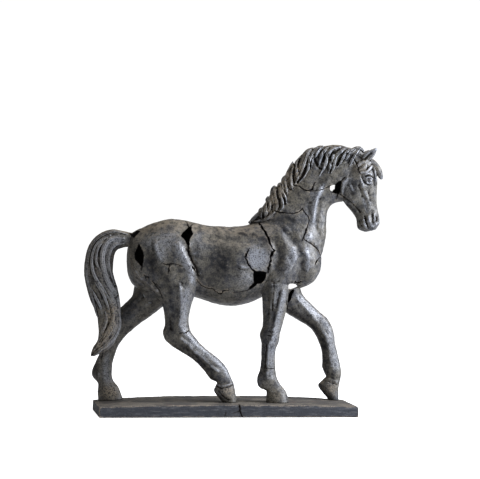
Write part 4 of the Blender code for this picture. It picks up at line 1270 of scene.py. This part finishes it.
    def surface(self, tree: BVHTree, x: float, z: float, plane: float,
                side: Side) -> tuple[Vector, Vector, Vector]:
        """The skin's point at a spot, in mm, the way the eye looks there, and the skin's own direction."""
        eye, way = VIEW.ray(x, z, plane, side)
        before = 200 if side is Side.NEAR else -200
        start = eye + way * ((plane - before - eye.y) / way.y) if plane else eye
        hit, normal, _, _ = tree.ray_cast(start * MM, way)
        if hit is None:
            return VIEW.place(x, z, -6, plane, side), way, -way
        return hit / MM, way, normal

    def break_holes(self, tree: BVHTree, paint: bpy.types.Material) -> None:
        """Cut the hollows behind the missing pieces, then their ragged mouths."""
        hollows, mouths = bmesh.new(), bmesh.new()
        rough = random.Random(17)
        for hole in HOLES:
            mid = Vector(np.mean(hole.outline, axis=0))
            centre, way, _ = self.surface(tree, mid.x, mid.y, 0.0, Side.NEAR)
            if hole.chamber:
                rx, ry, rz = hole.chamber
                place = Matrix.Translation((centre + way * (self.sizes.wall + ry)) * MM)
                bmesh.ops.create_uvsphere(hollows, u_segments=22, v_segments=14, radius=MM,
                                          matrix=place @ Matrix.Diagonal((rx, ry, rz, 1)))
            near, far = (-140, 150) if hole.through else (centre.y - 30, centre.y + hole.deep)
            outline = []
            for (ax, az), (bx, bz) in zip(hole.outline, hole.outline[1:] + hole.outline[:1]):
                for share in (0.0, 0.5):
                    jag = 0.45 if share else 0.15
                    outline.append((ax + (bx - ax) * share + rough.uniform(-jag, jag),
                                    az + (bz - az) * share + rough.uniform(-jag, jag)))
            cuts = [(near, 1.0), (far, 1.0)]
            if not hole.through:
                cuts = [(near, 1.03), (centre.y + 4, 1.0), (far, 0.9)]
            levels = [[mouths.verts.new(MM * VIEW.place(
                mid.x + (x - mid.x) * size, mid.y + (z - mid.y) * size, depth))
                for x, z in outline] for depth, size in cuts]
            mouths.faces.new(levels[0])
            mouths.faces.new(levels[-1][::-1])
            for above, below in zip(levels, levels[1:]):
                for i in range(len(outline)):
                    k = (i + 1) % len(outline)
                    mouths.faces.new((above[k], above[i], below[i], below[k]))
        bmesh.ops.triangulate(mouths, faces=mouths.faces[:])
        self.take_out("hollows", hollows, paint)
        self.take_out("mouths", mouths, paint)

    def wedge(self, bm: bmesh.types.BMesh, tree: BVHTree, crack: Crack, rough: random.Random) -> None:
        """Add one crack's wedge, which runs to an edge inside the skin."""
        line = smooth_line(crack.line, 4)
        count = len(line)
        rows = []
        for i, (x, z) in enumerate(line):
            share = i / (count - 1) * (len(crack.width) - 1)
            k = min(int(share), len(crack.width) - 2)
            width = (crack.width[k] + (crack.width[k + 1] - crack.width[k]) * (share - k)) * self.sizes.gape
            (ax, az), (bx, bz) = line[max(i - 1, 0)], line[min(i + 1, count - 1)]
            way2 = Vector((bx - ax, bz - az)).normalized()
            jag = rough.uniform(-1.15, 1.15) * min(1.0, 0.35 + width / 3) if 0 < i < count - 1 else 0.0
            x, z = x - way2.y * jag, z + way2.x * jag
            width *= rough.uniform(0.45, 1.55)
            hit, look, normal = self.surface(tree, x, z, crack.plane, crack.side)
            along = Vector((way2.x, 0, way2.y))
            inward = (look * 0.65 - normal * 0.35).normalized()
            side = along.cross(inward).normalized()
            deep = crack.deep * min(1.0, 0.3 + width / 1.6)
            mouth, floor = hit - inward * 2.4, hit + inward * deep
            spread = width / 2 * (1 + 2.4 / deep)
            rows.append([bm.verts.new(p * MM) for p in (
                mouth - side * spread, mouth + side * spread,
                floor + side * width * 0.12, floor - side * width * 0.12)])
        close_wedge(bm, rows)

    def crack(self, tree: BVHTree, paint: bpy.types.Material) -> None:
        """Cut every crack, those that meet in separate goes."""
        rough = random.Random(29)
        goes: list[tuple[bmesh.types.BMesh, list[tuple[Side, float, float, float, float]]]] = []
        for crack in (Crack(*row, side=side) for side, rows in CRACKS.items() for row in rows):
            xs, zs = zip(*crack.line)
            box = (min(xs) - 3, max(xs) + 3, min(zs) - 3, max(zs) + 3)
            for bm, boxes in goes:
                if all(side is not crack.side or box[0] > b[1] or box[1] < b[0] or box[2] > b[3]
                       or box[3] < b[2] for side, *b in boxes):
                    break
            else:
                bm, boxes = bmesh.new(), []
                goes.append((bm, boxes))
            boxes.append((crack.side, *box))
            self.wedge(bm, tree, crack, rough)
        for number, (bm, _) in enumerate(goes):
            bmesh.ops.triangulate(bm, faces=bm.faces[:])
            self.take_out(f"cracks_{number}", bm, paint)

    def stand(self, plinth: "Plinth", paint: bpy.types.Material) -> None:
        """Cut the soles so that they rest on the plinth's crowned top."""
        self.take_out("soles", plinth.block(lift=self.sizes.sole_gap, bottom=-30.0, grow=30.0), paint)

    def look_round(self, far: float = 22.0, ways: int = 44) -> None:
        """Note how open each point of the skin is to the room; the patina turns this into painted shade where
        a point is closed in.

        Args:
            far: Beyond this distance, in mm, nothing closes a point in.
            ways: How many sight lines there are all round; a point uses those in front of it.
        """
        mesh = self.obj.data
        tree = tree_of(mesh)
        turn = math.pi * (3 - math.sqrt(5))
        lines = []
        for i in range(ways):
            z = 1 - 2 * (i + 0.5) / ways
            flat = math.sqrt(1 - z * z)
            lines.append(Vector((flat * math.cos(i * turn), flat * math.sin(i * turn), z)))
        clear = np.empty(len(mesh.vertices))
        for vert, normal in zip(mesh.vertices, mesh.vertex_normals):
            facing = normal.vector
            start = vert.co + facing * 0.5 * MM
            seen = whole = 0.0
            for line in lines:
                weight = line.dot(facing)
                if weight < 0.2:
                    continue
                gap = tree.ray_cast(start, line, far * MM)[3]
                seen += weight * (1.0 if gap is None else gap / MM / far)
                whole += weight
            clear[vert.index] = seen / whole
        layer = mesh.attributes.new("open", "FLOAT", "POINT")
        layer.data.foreach_set("value", clear.astype(np.float32))

    def build(self, plinth: "Plinth", finishes: "Finishes") -> None:
        """Make the whole horse."""
        self.block()
        self.flow()
        self.model()
        self.read_tones()
        self.thin()
        self.obj.data.materials.append(finishes.patina)
        tree = tree_of(self.obj.data)
        self.break_holes(tree, finishes.inside)
        self.crack(tree, finishes.inside)
        self.stand(plinth, finishes.inside)
        self.tones.lay_on(self.obj.data)
        self.measure_breaks(tree)
        self.look_round()
        self.shade(52)
        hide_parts("horse")
        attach(self.obj, "root")
        LOG.info("horse: %d triangles", triangle_count(self.obj.data))


@dataclass(frozen=True)
class PlinthSizes:
    """The slab as the CAD has it, mm, and how finely it is made."""

    length: float = 512.0
    width: float = 140.0
    edge: float = 21.5            # thickness at the corners
    crown_front: float = 4.0      # how far the top swells in the middle, near edge
    crown_back: float = 8.5       # the same at the far edge
    rounding: float = 2.0
    grain: float = 1.5
    triangles: int = 110_000


@dataclass
class Plinth(Piece):
    """The slab under the horse: crowned, chipped along its edges, cracked at the front."""

    sizes: PlinthSizes = field(default_factory=PlinthSizes)

    def crown(self, x: float, y: float) -> float:
        """Height of the top at a place, mm."""
        s = self.sizes
        back = min(max(y / s.width + 0.5, 0), 1)
        swell = s.crown_front + (s.crown_back - s.crown_front) * back
        return s.edge + swell * (1 - min(abs(2 * x / s.length), 1) ** 2.5)

    def block(self, lift: float = 0.0, bottom: float = 0.0, grow: float = 0.0) -> bmesh.types.BMesh:
        """The plain slab.

        Args:
            lift: How far its top is raised, mm.
            bottom: Height of its underside, mm.
            grow: How much bigger it is on each side, mm.

        Returns:
            A closed bmesh.
        """
        bm = bmesh.new()
        s = self.sizes
        size = Matrix.Diagonal((s.length / 2 + grow, s.width / 2 + grow, 1, 1))
        bmesh.ops.create_grid(bm, x_segments=64, y_segments=16, size=1, matrix=size)
        top = bm.faces[:]
        grown = bmesh.ops.extrude_face_region(bm, geom=top)["geom"]
        raised = [g for g in grown if isinstance(g, bmesh.types.BMVert)]
        bmesh.ops.delete(bm, geom=top, context="FACES_KEEP_BOUNDARY")
        for vert in bm.verts:
            vert.co.z = bottom
        for vert in raised:
            vert.co.z = self.crown(vert.co.x, vert.co.y) + lift
        rim = [e for e in bm.edges if e.is_boundary]
        bmesh.ops.contextual_create(bm, geom=rim)
        bmesh.ops.scale(bm, vec=(MM, MM, MM), verts=bm.verts[:])
        bmesh.ops.recalc_face_normals(bm, faces=bm.faces[:])
        return bm

    def wear(self) -> None:
        """Round and chip the edges, and roughen the faces, always inward."""
        s = self.sizes
        skin = Skin(self.obj.data)
        x, y, z = skin.points.T
        top = np.array([self.crown(a, b) for a, b in zip(x, y)])
        side = np.minimum(s.length / 2 - np.abs(x), s.width / 2 - np.abs(y))
        edge = np.hypot(np.maximum(side, 0), np.maximum(top - z, 0))
        chips = np.maximum(0, lumps(skin.points, 17, 41) - 0.18) * 3.4
        chips = chips + np.maximum(0, lumps(skin.points, 6, 42)) * 1.1
        skin.lift -= np.exp(-((edge / 3.2) ** 2)) * chips * (top - z < 12)
        low_edge = np.hypot(np.maximum(side, 0), z)
        low_chips = np.maximum(0, lumps(skin.points, 9, 43))
        skin.lift -= np.exp(-((low_edge / 2.0) ** 2)) * low_chips * 0.9 * (z > 0.4)
        level = skin.normals[:, 2] < -0.9
        dents = (0.24 * (lumps(skin.points, 22, 44) - 1) + 0.2 * (lumps(skin.points, 8, 45) - 1)
                 + 0.12 * (lumps(skin.points, 3.6, 46) - 1))
        skin.lift += np.where(level, 0, dents)
        skin.push()
        room = np.array([s.length / 2, s.width / 2, 1e9])
        skin.points[:] = np.clip(skin.points, -room, room)
        skin.points[:, 2] = np.where(level, 0.0, np.maximum(skin.points[:, 2], 0.0))
        skin.push()

    def crack(self, paint: bpy.types.Material) -> None:
        """Cut the cracks that run down the front and back edges."""
        front = -self.sizes.width / 2
        for number, (line, widths, y, deep) in enumerate(PLINTH_CRACKS):
            bm = bmesh.new()
            rows = []
            start = front if y < 0 else -front
            inward = 1 if y < 0 else -1
            for (x, z), width in zip(line, widths):
                rows.append([bm.verts.new(Vector(p) * MM) for p in (
                    (x - width / 2 * 1.3, start - inward * 3, z),
                    (x + width / 2 * 1.3, start - inward * 3, z),
                    (x + width * 0.12, start + inward * deep, z),
                    (x - width * 0.12, start + inward * deep, z))])
            close_wedge(bm, rows)
            bmesh.ops.triangulate(bm, faces=bm.faces[:])
            self.take_out(f"slab_crack_{number}", bm, paint)

    def build(self, finishes: "Finishes") -> None:
        """Make the whole slab."""
        bm = self.block()
        sharp = [e for e in bm.edges if len(e.link_faces) == 2 and e.calc_face_angle(0) > 0.8]
        bmesh.ops.bevel(bm, geom=sharp, offset=self.sizes.rounding * MM, segments=3, profile=0.6,
                        affect="EDGES", clamp_overlap=True)
        self.obj = new_object("plinth_slab", bm)
        flow = self.obj.modifiers.new("flow", "REMESH")
        flow.mode, flow.voxel_size = "VOXEL", self.sizes.grain * MM
        apply_modifiers(self.obj)
        self.wear()
        skin = Skin(self.obj.data)
        fine, broad = skin.rises((6, 20))
        tones = Tones(skin.points.copy(), {"fine": fine, "broad": broad, "up": skin.normals[:, 2]})
        thin = self.obj.modifiers.new("thin", "DECIMATE")
        thin.ratio = min(1.0, self.sizes.triangles / triangle_count(self.obj.data))
        apply_modifiers(self.obj)
        whole = tree_of(self.obj.data)
        self.obj.data.materials.append(finishes.slab)
        self.crack(finishes.inside)
        tones.lay_on(self.obj.data)
        self.measure_breaks(whole)
        self.shade(50)
        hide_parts("plinth")
        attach(self.obj, "root")
        LOG.info("plinth: %d triangles", triangle_count(self.obj.data))


# a crack in the slab: (x, z) down its face, the width at each, its edge (-1 near, 1 far), how deep it runs
PLINTH_CRACKS = [
    ([(17.5, 30), (17.8, 24.6), (17.2, 21), (18.8, 18.5), (17.8, 14), (19.8, 10.5), (20.8, 7), (23.0, 3),
      (23.4, -2)],
     (3.4, 3.2, 4.2, 2.6, 3.4, 3.0, 2.4, 2.6, 1.8), -1, 10),
    ([(5.0, 8.5), (9, 10.6), (14, 11.4), (18.5, 15.2)], (0.8, 1.9, 2.4, 2.2), -1, 5),
    ([(-9.5, 12), (-9, 9), (-11, 6), (-10, 2)], (0.8, 1.8, 1.6, 0.6), -1, 4),
    ([(-72, 30), (-71.4, 24), (-72.6, 19), (-71.6, 13)], (2.2, 1.8, 1.2, 0.4), 1, 8),
    ([(96, 30), (95, 22), (97, 15)], (1.2, 1.0, 0.3), 1, 5),
]


class Nodes:
    """The node tree of a material or a world, and the helper that grows it."""

    def __init__(self, owner: bpy.types.Material | bpy.types.World) -> None:
        self.owner = owner
        owner.use_nodes = True
        self.tree = owner.node_tree
        self.tree.nodes.clear()

    def add(self, kind: str, sockets: dict | None = None, give: int | str = 0,
            stops: Sequence[tuple[float, str]] = (), **settings: object) -> bpy.types.NodeSocket:
        """Add a node.

        Args:
            kind: The node's type.
            sockets: What its inputs are given: a socket to link, or a value.
            give: The output that is wanted.
            stops: A colour ramp's places and colours.
            settings: The node's own settings.

        Returns:
            The wanted output.
        """
        node = self.tree.nodes.new(kind)
        for key, value in settings.items():
            setattr(node, key, value)
        for key, value in (sockets or {}).items():
            if isinstance(value, bpy.types.NodeSocket):
                self.tree.links.new(value, node.inputs[key])
            else:
                node.inputs[key].default_value = value
        if stops:
            band = node.color_ramp.elements
            while len(band) < len(stops):
                band.new(1.0)
            for point, (place, colour) in zip(band, stops):
                point.position, point.color = place, linear(colour)
        return node.outputs[give] if len(node.outputs) else None

    def value(self, name: str) -> bpy.types.NodeSocket:
        """One of the mesh's own values."""
        return self.add("ShaderNodeAttribute", give="Fac", attribute_name=name, attribute_type="GEOMETRY")

    def span(self, value: bpy.types.NodeSocket, low: float, high: float, to_low: float = 0.0,
             to_high: float = 1.0) -> bpy.types.NodeSocket:
        """A value stretched from one span to another, softly, and held there."""
        return self.add("ShaderNodeMapRange", {"Value": value, "From Min": low, "From Max": high,
                                               "To Min": to_low, "To Max": to_high},
                        interpolation_type="SMOOTHSTEP")

    def sum(self, how: str, a: object, b: object) -> bpy.types.NodeSocket:
        """Two values put together and held between 0 and 1."""
        return self.add("ShaderNodeMath", {0: a, 1: b}, operation=how, use_clamp=True)

    def over(self, share: object, below: object, above: object, how: str = "MIX") -> bpy.types.NodeSocket:
        """One colour laid over another by a share."""
        return self.add("ShaderNodeMix", {0: share, 6: below, 7: above}, give=2, data_type="RGBA",
                        blend_type=how)


@dataclass(frozen=True)
class Patina:
    """Painted cast resin: a grey-olive coat, dark washes in the hollows, worn and dusty on the ridges, with
    painted shade and highlights.
    """

    name: str = "horse_patina"
    cool: str = "#3e3f44"
    olive: str = "#49453b"
    pale: str = "#5b574e"
    # dark of the washes in the hollows, and of painted shade in closed-in places and at break edges
    wash_and_shade_tint: str = "#100d0b"
    # pale grey of ridges worn by rubbing, also laid on as painted highlights
    worn: str = "#777a80"
    dust: str = "#7f7566"
    # dark blue-grey of random mottles and stains, also laid on as painted shade
    stain: str = "#17181c"
    wash_reach: tuple[float, float] = (-0.06, -0.55)      # mm below the surroundings, none to full
    worn_reach: tuple[float, float] = (0.16, 0.70)        # mm above them
    rough: float = 0.44
    grit: float = 0.25                                    # mm, the height of the finest relief
    fleck: float = 4.2                                    # mm, from one speck of dust to the next
    mottles: tuple[tuple[float, float, float, float], ...] = (    # size in mm, detail, roughness, distortion
        (50, 3, 0.6, 0), (22, 4, 0.6, 0.6), (9, 4, 0.65, 0), (2.6, 3, 0.7, 0))

    def make(self) -> bpy.types.Material:
        """The material: resin is a dielectric, so metallic stays 0; the coat's sheen is a low roughness."""
        n = Nodes(bpy.data.materials.new(self.name))
        place = n.add("ShaderNodeTexCoord", give="Object")
        broad, cloud, middle, small = (n.add("ShaderNodeTexNoise", {
            "Vector": place, "Scale": 1 / (size * MM), "Detail": detail, "Roughness": rough,
            "Distortion": bend}) for size, detail, rough, bend in self.mottles)
        fleck = n.add("ShaderNodeTexVoronoi", {
            "Vector": place, "Scale": 1 / (self.fleck * MM), "Randomness": 1.0}, give="Distance")
        fine, broad_rise, up = n.value("fine"), n.value("broad"), n.value("up")
        coat = n.over(n.span(broad, 0.38, 0.54), linear(self.cool), linear(self.olive))
        for value, low, high, most, colour in (
                (cloud, 0.5, 0.62, 0.7, self.pale), (cloud, 0.52, 0.36, 0.7, self.stain),
                (middle, 0.48, 0.64, 0.65, self.pale), (middle, 0.52, 0.36, 0.6, self.stain),
                (small, 0.5, 0.38, 0.75, self.stain), (small, 0.53, 0.64, 0.55, self.pale)):
            coat = n.over(n.span(value, low, high, 0, most), coat, linear(colour))
        # the patches and bands of darker tone: stains, and painted shade on faces turned from the light and
        # in grooves
        stained_and_shaded = n.sum("MULTIPLY", n.value("stain"), n.span(middle, 0.75, 0.3, 0.5, 1.0))
        coat = n.over(n.sum("MULTIPLY", stained_and_shaded, 0.85), coat, linear(self.stain))
        height = n.add("ShaderNodeMath", {0: broad_rise, 1: 0.45, 2: fine}, operation="MULTIPLY_ADD")
        ragged = n.span(middle, 0.3, 0.7, -0.12, 0.12)
        break_up = n.add("ShaderNodeMath", {0: ragged, 1: height}, operation="ADD")
        wash_and_shade = n.span(break_up, *self.wash_reach)
        # paler where ridges are worn by rubbing, and on the worn patches and bands, which are partly painted
        # highlights
        rubbed_and_highlight = n.sum("MULTIPLY", n.span(break_up, *self.worn_reach), n.span(n.value("open"), 0.45, 0.8))
        rubbed_and_highlight = n.sum("ADD", rubbed_and_highlight, n.sum("MULTIPLY", n.value("worn"),
                                            n.span(small, 0.38, 0.54, 0.1, 0.9)))
        rubbed_and_highlight = n.sum("MULTIPLY", rubbed_and_highlight, n.span(small, 0.3, 0.55, 0.3, 0.95))
        coat = n.over(rubbed_and_highlight, coat, linear(self.worn))
        top = n.sum("MULTIPLY", n.span(up, 0.35, 0.95), n.span(middle, 0.4, 0.6, 0.1, 0.7))
        speck = n.sum("MULTIPLY", n.span(fleck, 0.26, 0.10), n.span(middle, 0.52, 0.66, 0.0, 0.7))
        rim = n.sum("MULTIPLY", n.span(n.value("near_break"), 3.0, 0.8), n.span(middle, 0.5, 0.6, 0.0, 0.55))
        dusty = n.sum("MAXIMUM", n.sum("MAXIMUM", top, speck), n.sum("MAXIMUM", rim, n.sum(
            "MULTIPLY", n.value("dust"), n.span(small, 0.4, 0.6, 0.0, 0.8))))
        coat = n.over(dusty, coat, linear(self.dust))
        # painted shade: darker where the skin is closed in, and right at break edges
        wash_and_shade = n.sum("MAXIMUM", wash_and_shade, n.span(n.value("open"), 0.62, 0.25))
        wash_and_shade = n.sum("MAXIMUM", wash_and_shade, n.span(n.value("near_break"), 1.1, 0.2, 0, 0.8))
        coat = n.over(n.sum("MULTIPLY", wash_and_shade, 0.94), coat, linear(self.wash_and_shade_tint))
        dull = n.sum("MAXIMUM", n.sum("MAXIMUM", stained_and_shaded, wash_and_shade), n.span(middle, 0.52, 0.36, 0, 0.5))
        sheen = n.add("ShaderNodeMix", {0: dull, 2: 0.5, 3: 0.08}, give=0)
        sheen = n.add("ShaderNodeMix", {0: rubbed_and_highlight, 2: sheen, 3: 0.75}, give=0)
        rough = n.add("ShaderNodeMix", {0: rubbed_and_highlight, 2: self.rough, 3: self.rough - 0.14}, give=0)
        rough = n.add("ShaderNodeMix", {0: n.sum("MAXIMUM", dusty, wash_and_shade), 2: rough, 3: 0.78}, give=0)
        relief = n.add("ShaderNodeBump", {"Height": small, "Strength": 0.75, "Distance": self.grit * MM * 2})
        relief = n.add("ShaderNodeBump", {"Height": middle, "Strength": 0.6, "Distance": self.grit * MM * 4,
                                          "Normal": relief})
        shader = n.add("ShaderNodeBsdfPrincipled", {"Base Color": coat, "Roughness": rough, "Normal": relief,
                                                    "Specular IOR Level": sheen})
        n.add("ShaderNodeOutputMaterial", {"Surface": shader})
        return n.owner


@dataclass(frozen=True)
class Slab:
    """The plinth's paint: dark blue-grey sides with beige streaks, a browner top with dust."""

    name: str = "slab_paint"
    side: str = "#2e3239"
    side_pale: str = "#4d5056"
    top: str = "#4a4743"
    top_pale: str = "#6b655b"
    sand: str = "#8f8373"
    earth: str = "#5f4c41"
    # for dark specks, and for painted shade at the crack edges
    dark: str = "#1d1b1c"

    def make(self) -> bpy.types.Material:
        """The material; the same painted resin as the horse, drier and more matte."""
        n = Nodes(bpy.data.materials.new(self.name))
        place = n.add("ShaderNodeTexCoord", give="Object")
        long = n.add("ShaderNodeMapping", {"Vector": place, "Scale": (0.22, 0.6, 1.6)})
        broad, streak, small = (n.add("ShaderNodeTexNoise", {
            "Vector": way, "Scale": 1 / (size * MM), "Detail": detail, "Roughness": rough})
            for way, size, detail, rough in ((place, 35, 3, 0.6), (long, 7, 4, 0.65), (place, 2.4, 3, 0.7)))
        z = n.add("ShaderNodeSeparateXYZ", {0: place}, give="Z")
        face_up = n.span(n.value("up"), 0.55, 0.9)
        side = n.over(n.span(streak, 0.45, 0.7), linear(self.side), linear(self.side_pale))
        side = n.over(n.span(small, 0.58, 0.32, 0, 0.7), side, linear(self.dark))
        rims = n.sum("MAXIMUM", n.span(z, 0.0195, 0.0235), n.span(z, 0.0045, 0.0012))
        sandy = n.sum("MULTIPLY", n.span(streak, 0.53, 0.66),
                      n.sum("ADD", n.sum("MULTIPLY", rims, 0.8), 0.07))
        side = n.over(sandy, side, linear(self.sand))
        top = n.over(n.span(broad, 0.42, 0.62), linear(self.top), linear(self.top_pale))
        top = n.over(n.span(small, 0.55, 0.34, 0, 0.6), top, linear(self.dark))
        top = n.over(n.span(streak, 0.54, 0.72, 0, 0.6), top, linear(self.earth))
        coat = n.over(face_up, side, top)
        worn = n.sum("MULTIPLY", n.span(n.value("broad"), 0.10, 0.5), n.span(small, 0.4, 0.62, 0.1, 0.8))
        coat = n.over(worn, coat, linear(self.sand))
        # dark washes in the dents, and painted shade right at the crack edges
        wash_and_shade = n.sum("MAXIMUM", n.span(n.value("fine"), -0.02, -0.35, 0, 0.8),
                       n.span(n.value("near_break"), 1.8, 0.4, 0, 0.7))
        coat = n.over(wash_and_shade, coat, linear(self.dark))
        relief = n.add("ShaderNodeBump", {"Height": small, "Strength": 0.8, "Distance": 0.6 * MM})
        relief = n.add("ShaderNodeBump", {"Height": streak, "Strength": 0.5, "Distance": 0.9 * MM,
                                          "Normal": relief})
        shader = n.add("ShaderNodeBsdfPrincipled", {"Base Color": coat, "Roughness": 0.66, "Normal": relief,
                                                    "Specular IOR Level": 0.4})
        n.add("ShaderNodeOutputMaterial", {"Surface": shader})
        return n.owner


@dataclass(frozen=True)
class Inside:
    """The cast wall where it is broken: dusty at the lip, then dark brown, then black painted shade deep in
    the hollows.
    """

    name: str = "broken_wall"
    lip: str = "#5d554a"
    wall: str = "#1b1714"
    # painted shade: the black that deepens into the hollows
    hollow_shade: str = "#040303"

    def make(self) -> bpy.types.Material:
        """The material; raw resin, rough and unpainted."""
        n = Nodes(bpy.data.materials.new(self.name))
        place = n.add("ShaderNodeTexCoord", give="Object")
        small = n.add("ShaderNodeTexNoise", {"Vector": place, "Scale": 1 / 0.003, "Detail": 3.0,
                                             "Roughness": 0.7})
        ragged = n.span(small, 0.3, 0.7, -0.5, 0.5)
        deep = n.add("ShaderNodeMath", {0: n.value("deep"), 1: ragged}, operation="ADD")
        coat = n.over(n.span(deep, -0.3, 0.7), linear(self.lip), linear(self.wall))
        # painted shade: black where the broken face lies deep in the wall
        coat = n.over(n.span(deep, 0.8, 3.2), coat, linear(self.hollow_shade))
        relief = n.add("ShaderNodeBump", {"Height": small, "Strength": 0.8, "Distance": 0.6 * MM})
        shader = n.add("ShaderNodeBsdfPrincipled", {"Base Color": coat, "Roughness": 0.85, "Normal": relief,
                                                    "Specular IOR Level": 0.25})
        n.add("ShaderNodeOutputMaterial", {"Surface": shader})
        return n.owner


@dataclass(frozen=True)
class Floor:
    """Plain pale studio paper, as white as an overexposed sweep; the glow is seen but lights nothing."""

    name: str = "paper"
    colour: str = "#e4e4e4"
    glow: str = "#ffffff"
    lit: float = 0.92

    def make(self) -> bpy.types.Material:
        """The material; matte paper."""
        n = Nodes(bpy.data.materials.new(self.name))
        seen = n.add("ShaderNodeLightPath", give="Is Camera Ray")
        shader = n.add("ShaderNodeBsdfPrincipled", {"Base Color": linear(self.colour), "Roughness": 0.9,
                                                    "Specular IOR Level": 0.1,
                                                    "Emission Color": linear(self.glow),
                                                    "Emission Strength": n.sum("MULTIPLY", seen, self.lit)})
        n.add("ShaderNodeOutputMaterial", {"Surface": shader})
        return n.owner


@dataclass
class Finishes:
    """Every material of the scene."""

    patina: bpy.types.Material = field(default_factory=lambda: Patina().make())
    slab: bpy.types.Material = field(default_factory=lambda: Slab().make())
    inside: bpy.types.Material = field(default_factory=lambda: Inside().make())
    floor: bpy.types.Material = field(default_factory=lambda: Floor().make())


@dataclass(frozen=True)
class Lamp:
    """A soft box: its way and distance from the middle of the sculpture, its size in metres and its power."""

    name: str
    azimuth: float
    elevation: float
    distance: float
    size: tuple[float, float]
    power: float
    colour: str = "#ffffff"

    def hang(self, middle: Vector) -> None:
        """Put the lamp in the scene, looking at the middle."""
        light = bpy.data.lights.new(self.name, "AREA")
        light.shape, light.size, light.size_y = "RECTANGLE", *self.size
        light.energy, light.color = self.power, linear(self.colour)[:3]
        obj = bpy.data.objects.new(self.name, light)
        bpy.context.scene.collection.objects.link(obj)
        a, e = math.radians(self.azimuth), math.radians(self.elevation)
        back = Vector((math.sin(a) * math.cos(e), -math.cos(a) * math.cos(e), math.sin(e)))
        obj.location = middle + back * self.distance
        obj.rotation_mode = "QUATERNION"
        obj.rotation_quaternion = (-back).to_track_quat("-Z", "Y")


@dataclass
class Studio:
    """Floor, light and camera."""

    lamps: tuple[Lamp, ...] = (
        Lamp("key", 74, 24, 2.0, (1.0, 1.5), 98, "#eef3ff"),
        Lamp("top", 25, 76, 2.0, (1.8, 1.2), 15, "#fff7ec"),
        Lamp("front", -12, 22, 3.0, (1.6, 1.2), 6),
    )
    sky: float = 0.27             # the light that falls in from all round
    sky_seen: float = 1.05        # how bright the same surroundings look behind the floor
    floor_size: float = 60.0

    def build(self, finishes: Finishes) -> None:
        """Make the surroundings."""
        bm = bmesh.new()
        bmesh.ops.create_grid(bm, x_segments=1, y_segments=1, size=self.floor_size / 2)
        floor = new_object("floor", bm, turn_out=False)
        floor.data.materials.append(finishes.floor)
        floor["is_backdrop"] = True
        for lamp in self.lamps:
            lamp.hang(Vector((0.0, 0.0, 0.27)))
        n = Nodes(bpy.data.worlds.new("studio"))
        seen = n.add("ShaderNodeLightPath", give="Is Camera Ray")
        strength = n.add("ShaderNodeMapRange", {"Value": seen, "To Min": self.sky, "To Max": self.sky_seen})
        sky = n.add("ShaderNodeBackground", {"Color": (1, 1, 1, 1), "Strength": strength})
        n.add("ShaderNodeOutputWorld", {"Surface": sky})
        scene = bpy.context.scene
        scene.world = n.owner
        scene.view_settings.view_transform = "Standard"
        self.look(scene)

    def look(self, scene: bpy.types.Scene) -> None:
        """Place the camera at the viewpoint."""
        data = bpy.data.cameras.new("camera")
        data.lens, data.sensor_width = VIEW.lens, 36.0
        data.clip_start, data.clip_end = 0.1, 100.0
        camera = bpy.data.objects.new("camera", data)
        scene.collection.objects.link(camera)
        back = VIEW.back()
        right = (-back).cross(Vector((0, 0, 1))).normalized()
        up = right.cross(-back)
        roll = math.radians(VIEW.roll)
        across = right * math.cos(roll) + up * math.sin(roll)
        above = up * math.cos(roll) - right * math.sin(roll)
        turn = Matrix((across, above, back)).transposed().to_4x4()
        camera.matrix_world = Matrix.Translation(VIEW.eye() * MM) @ turn
        scene.camera = camera


def main() -> None:
    """Build the plinth, the horse and the studio, and note the sizes."""
    logging.basicConfig(level=logging.INFO, format="%(relativeCreated)7.0f ms  %(name)s: %(message)s")
    finishes = Finishes()
    plinth = Plinth()
    plinth.build(finishes)
    Horse().build(plinth, finishes)
    Studio().build(finishes)
    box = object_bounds()
    for made, cad in zip(box, CAD_BOX):
        LOG.info("made %s, cad %s", [round(v / MM, 2) for v in made], [round(v / MM, 2) for v in cad])


if __name__ == "__main__":
    main()
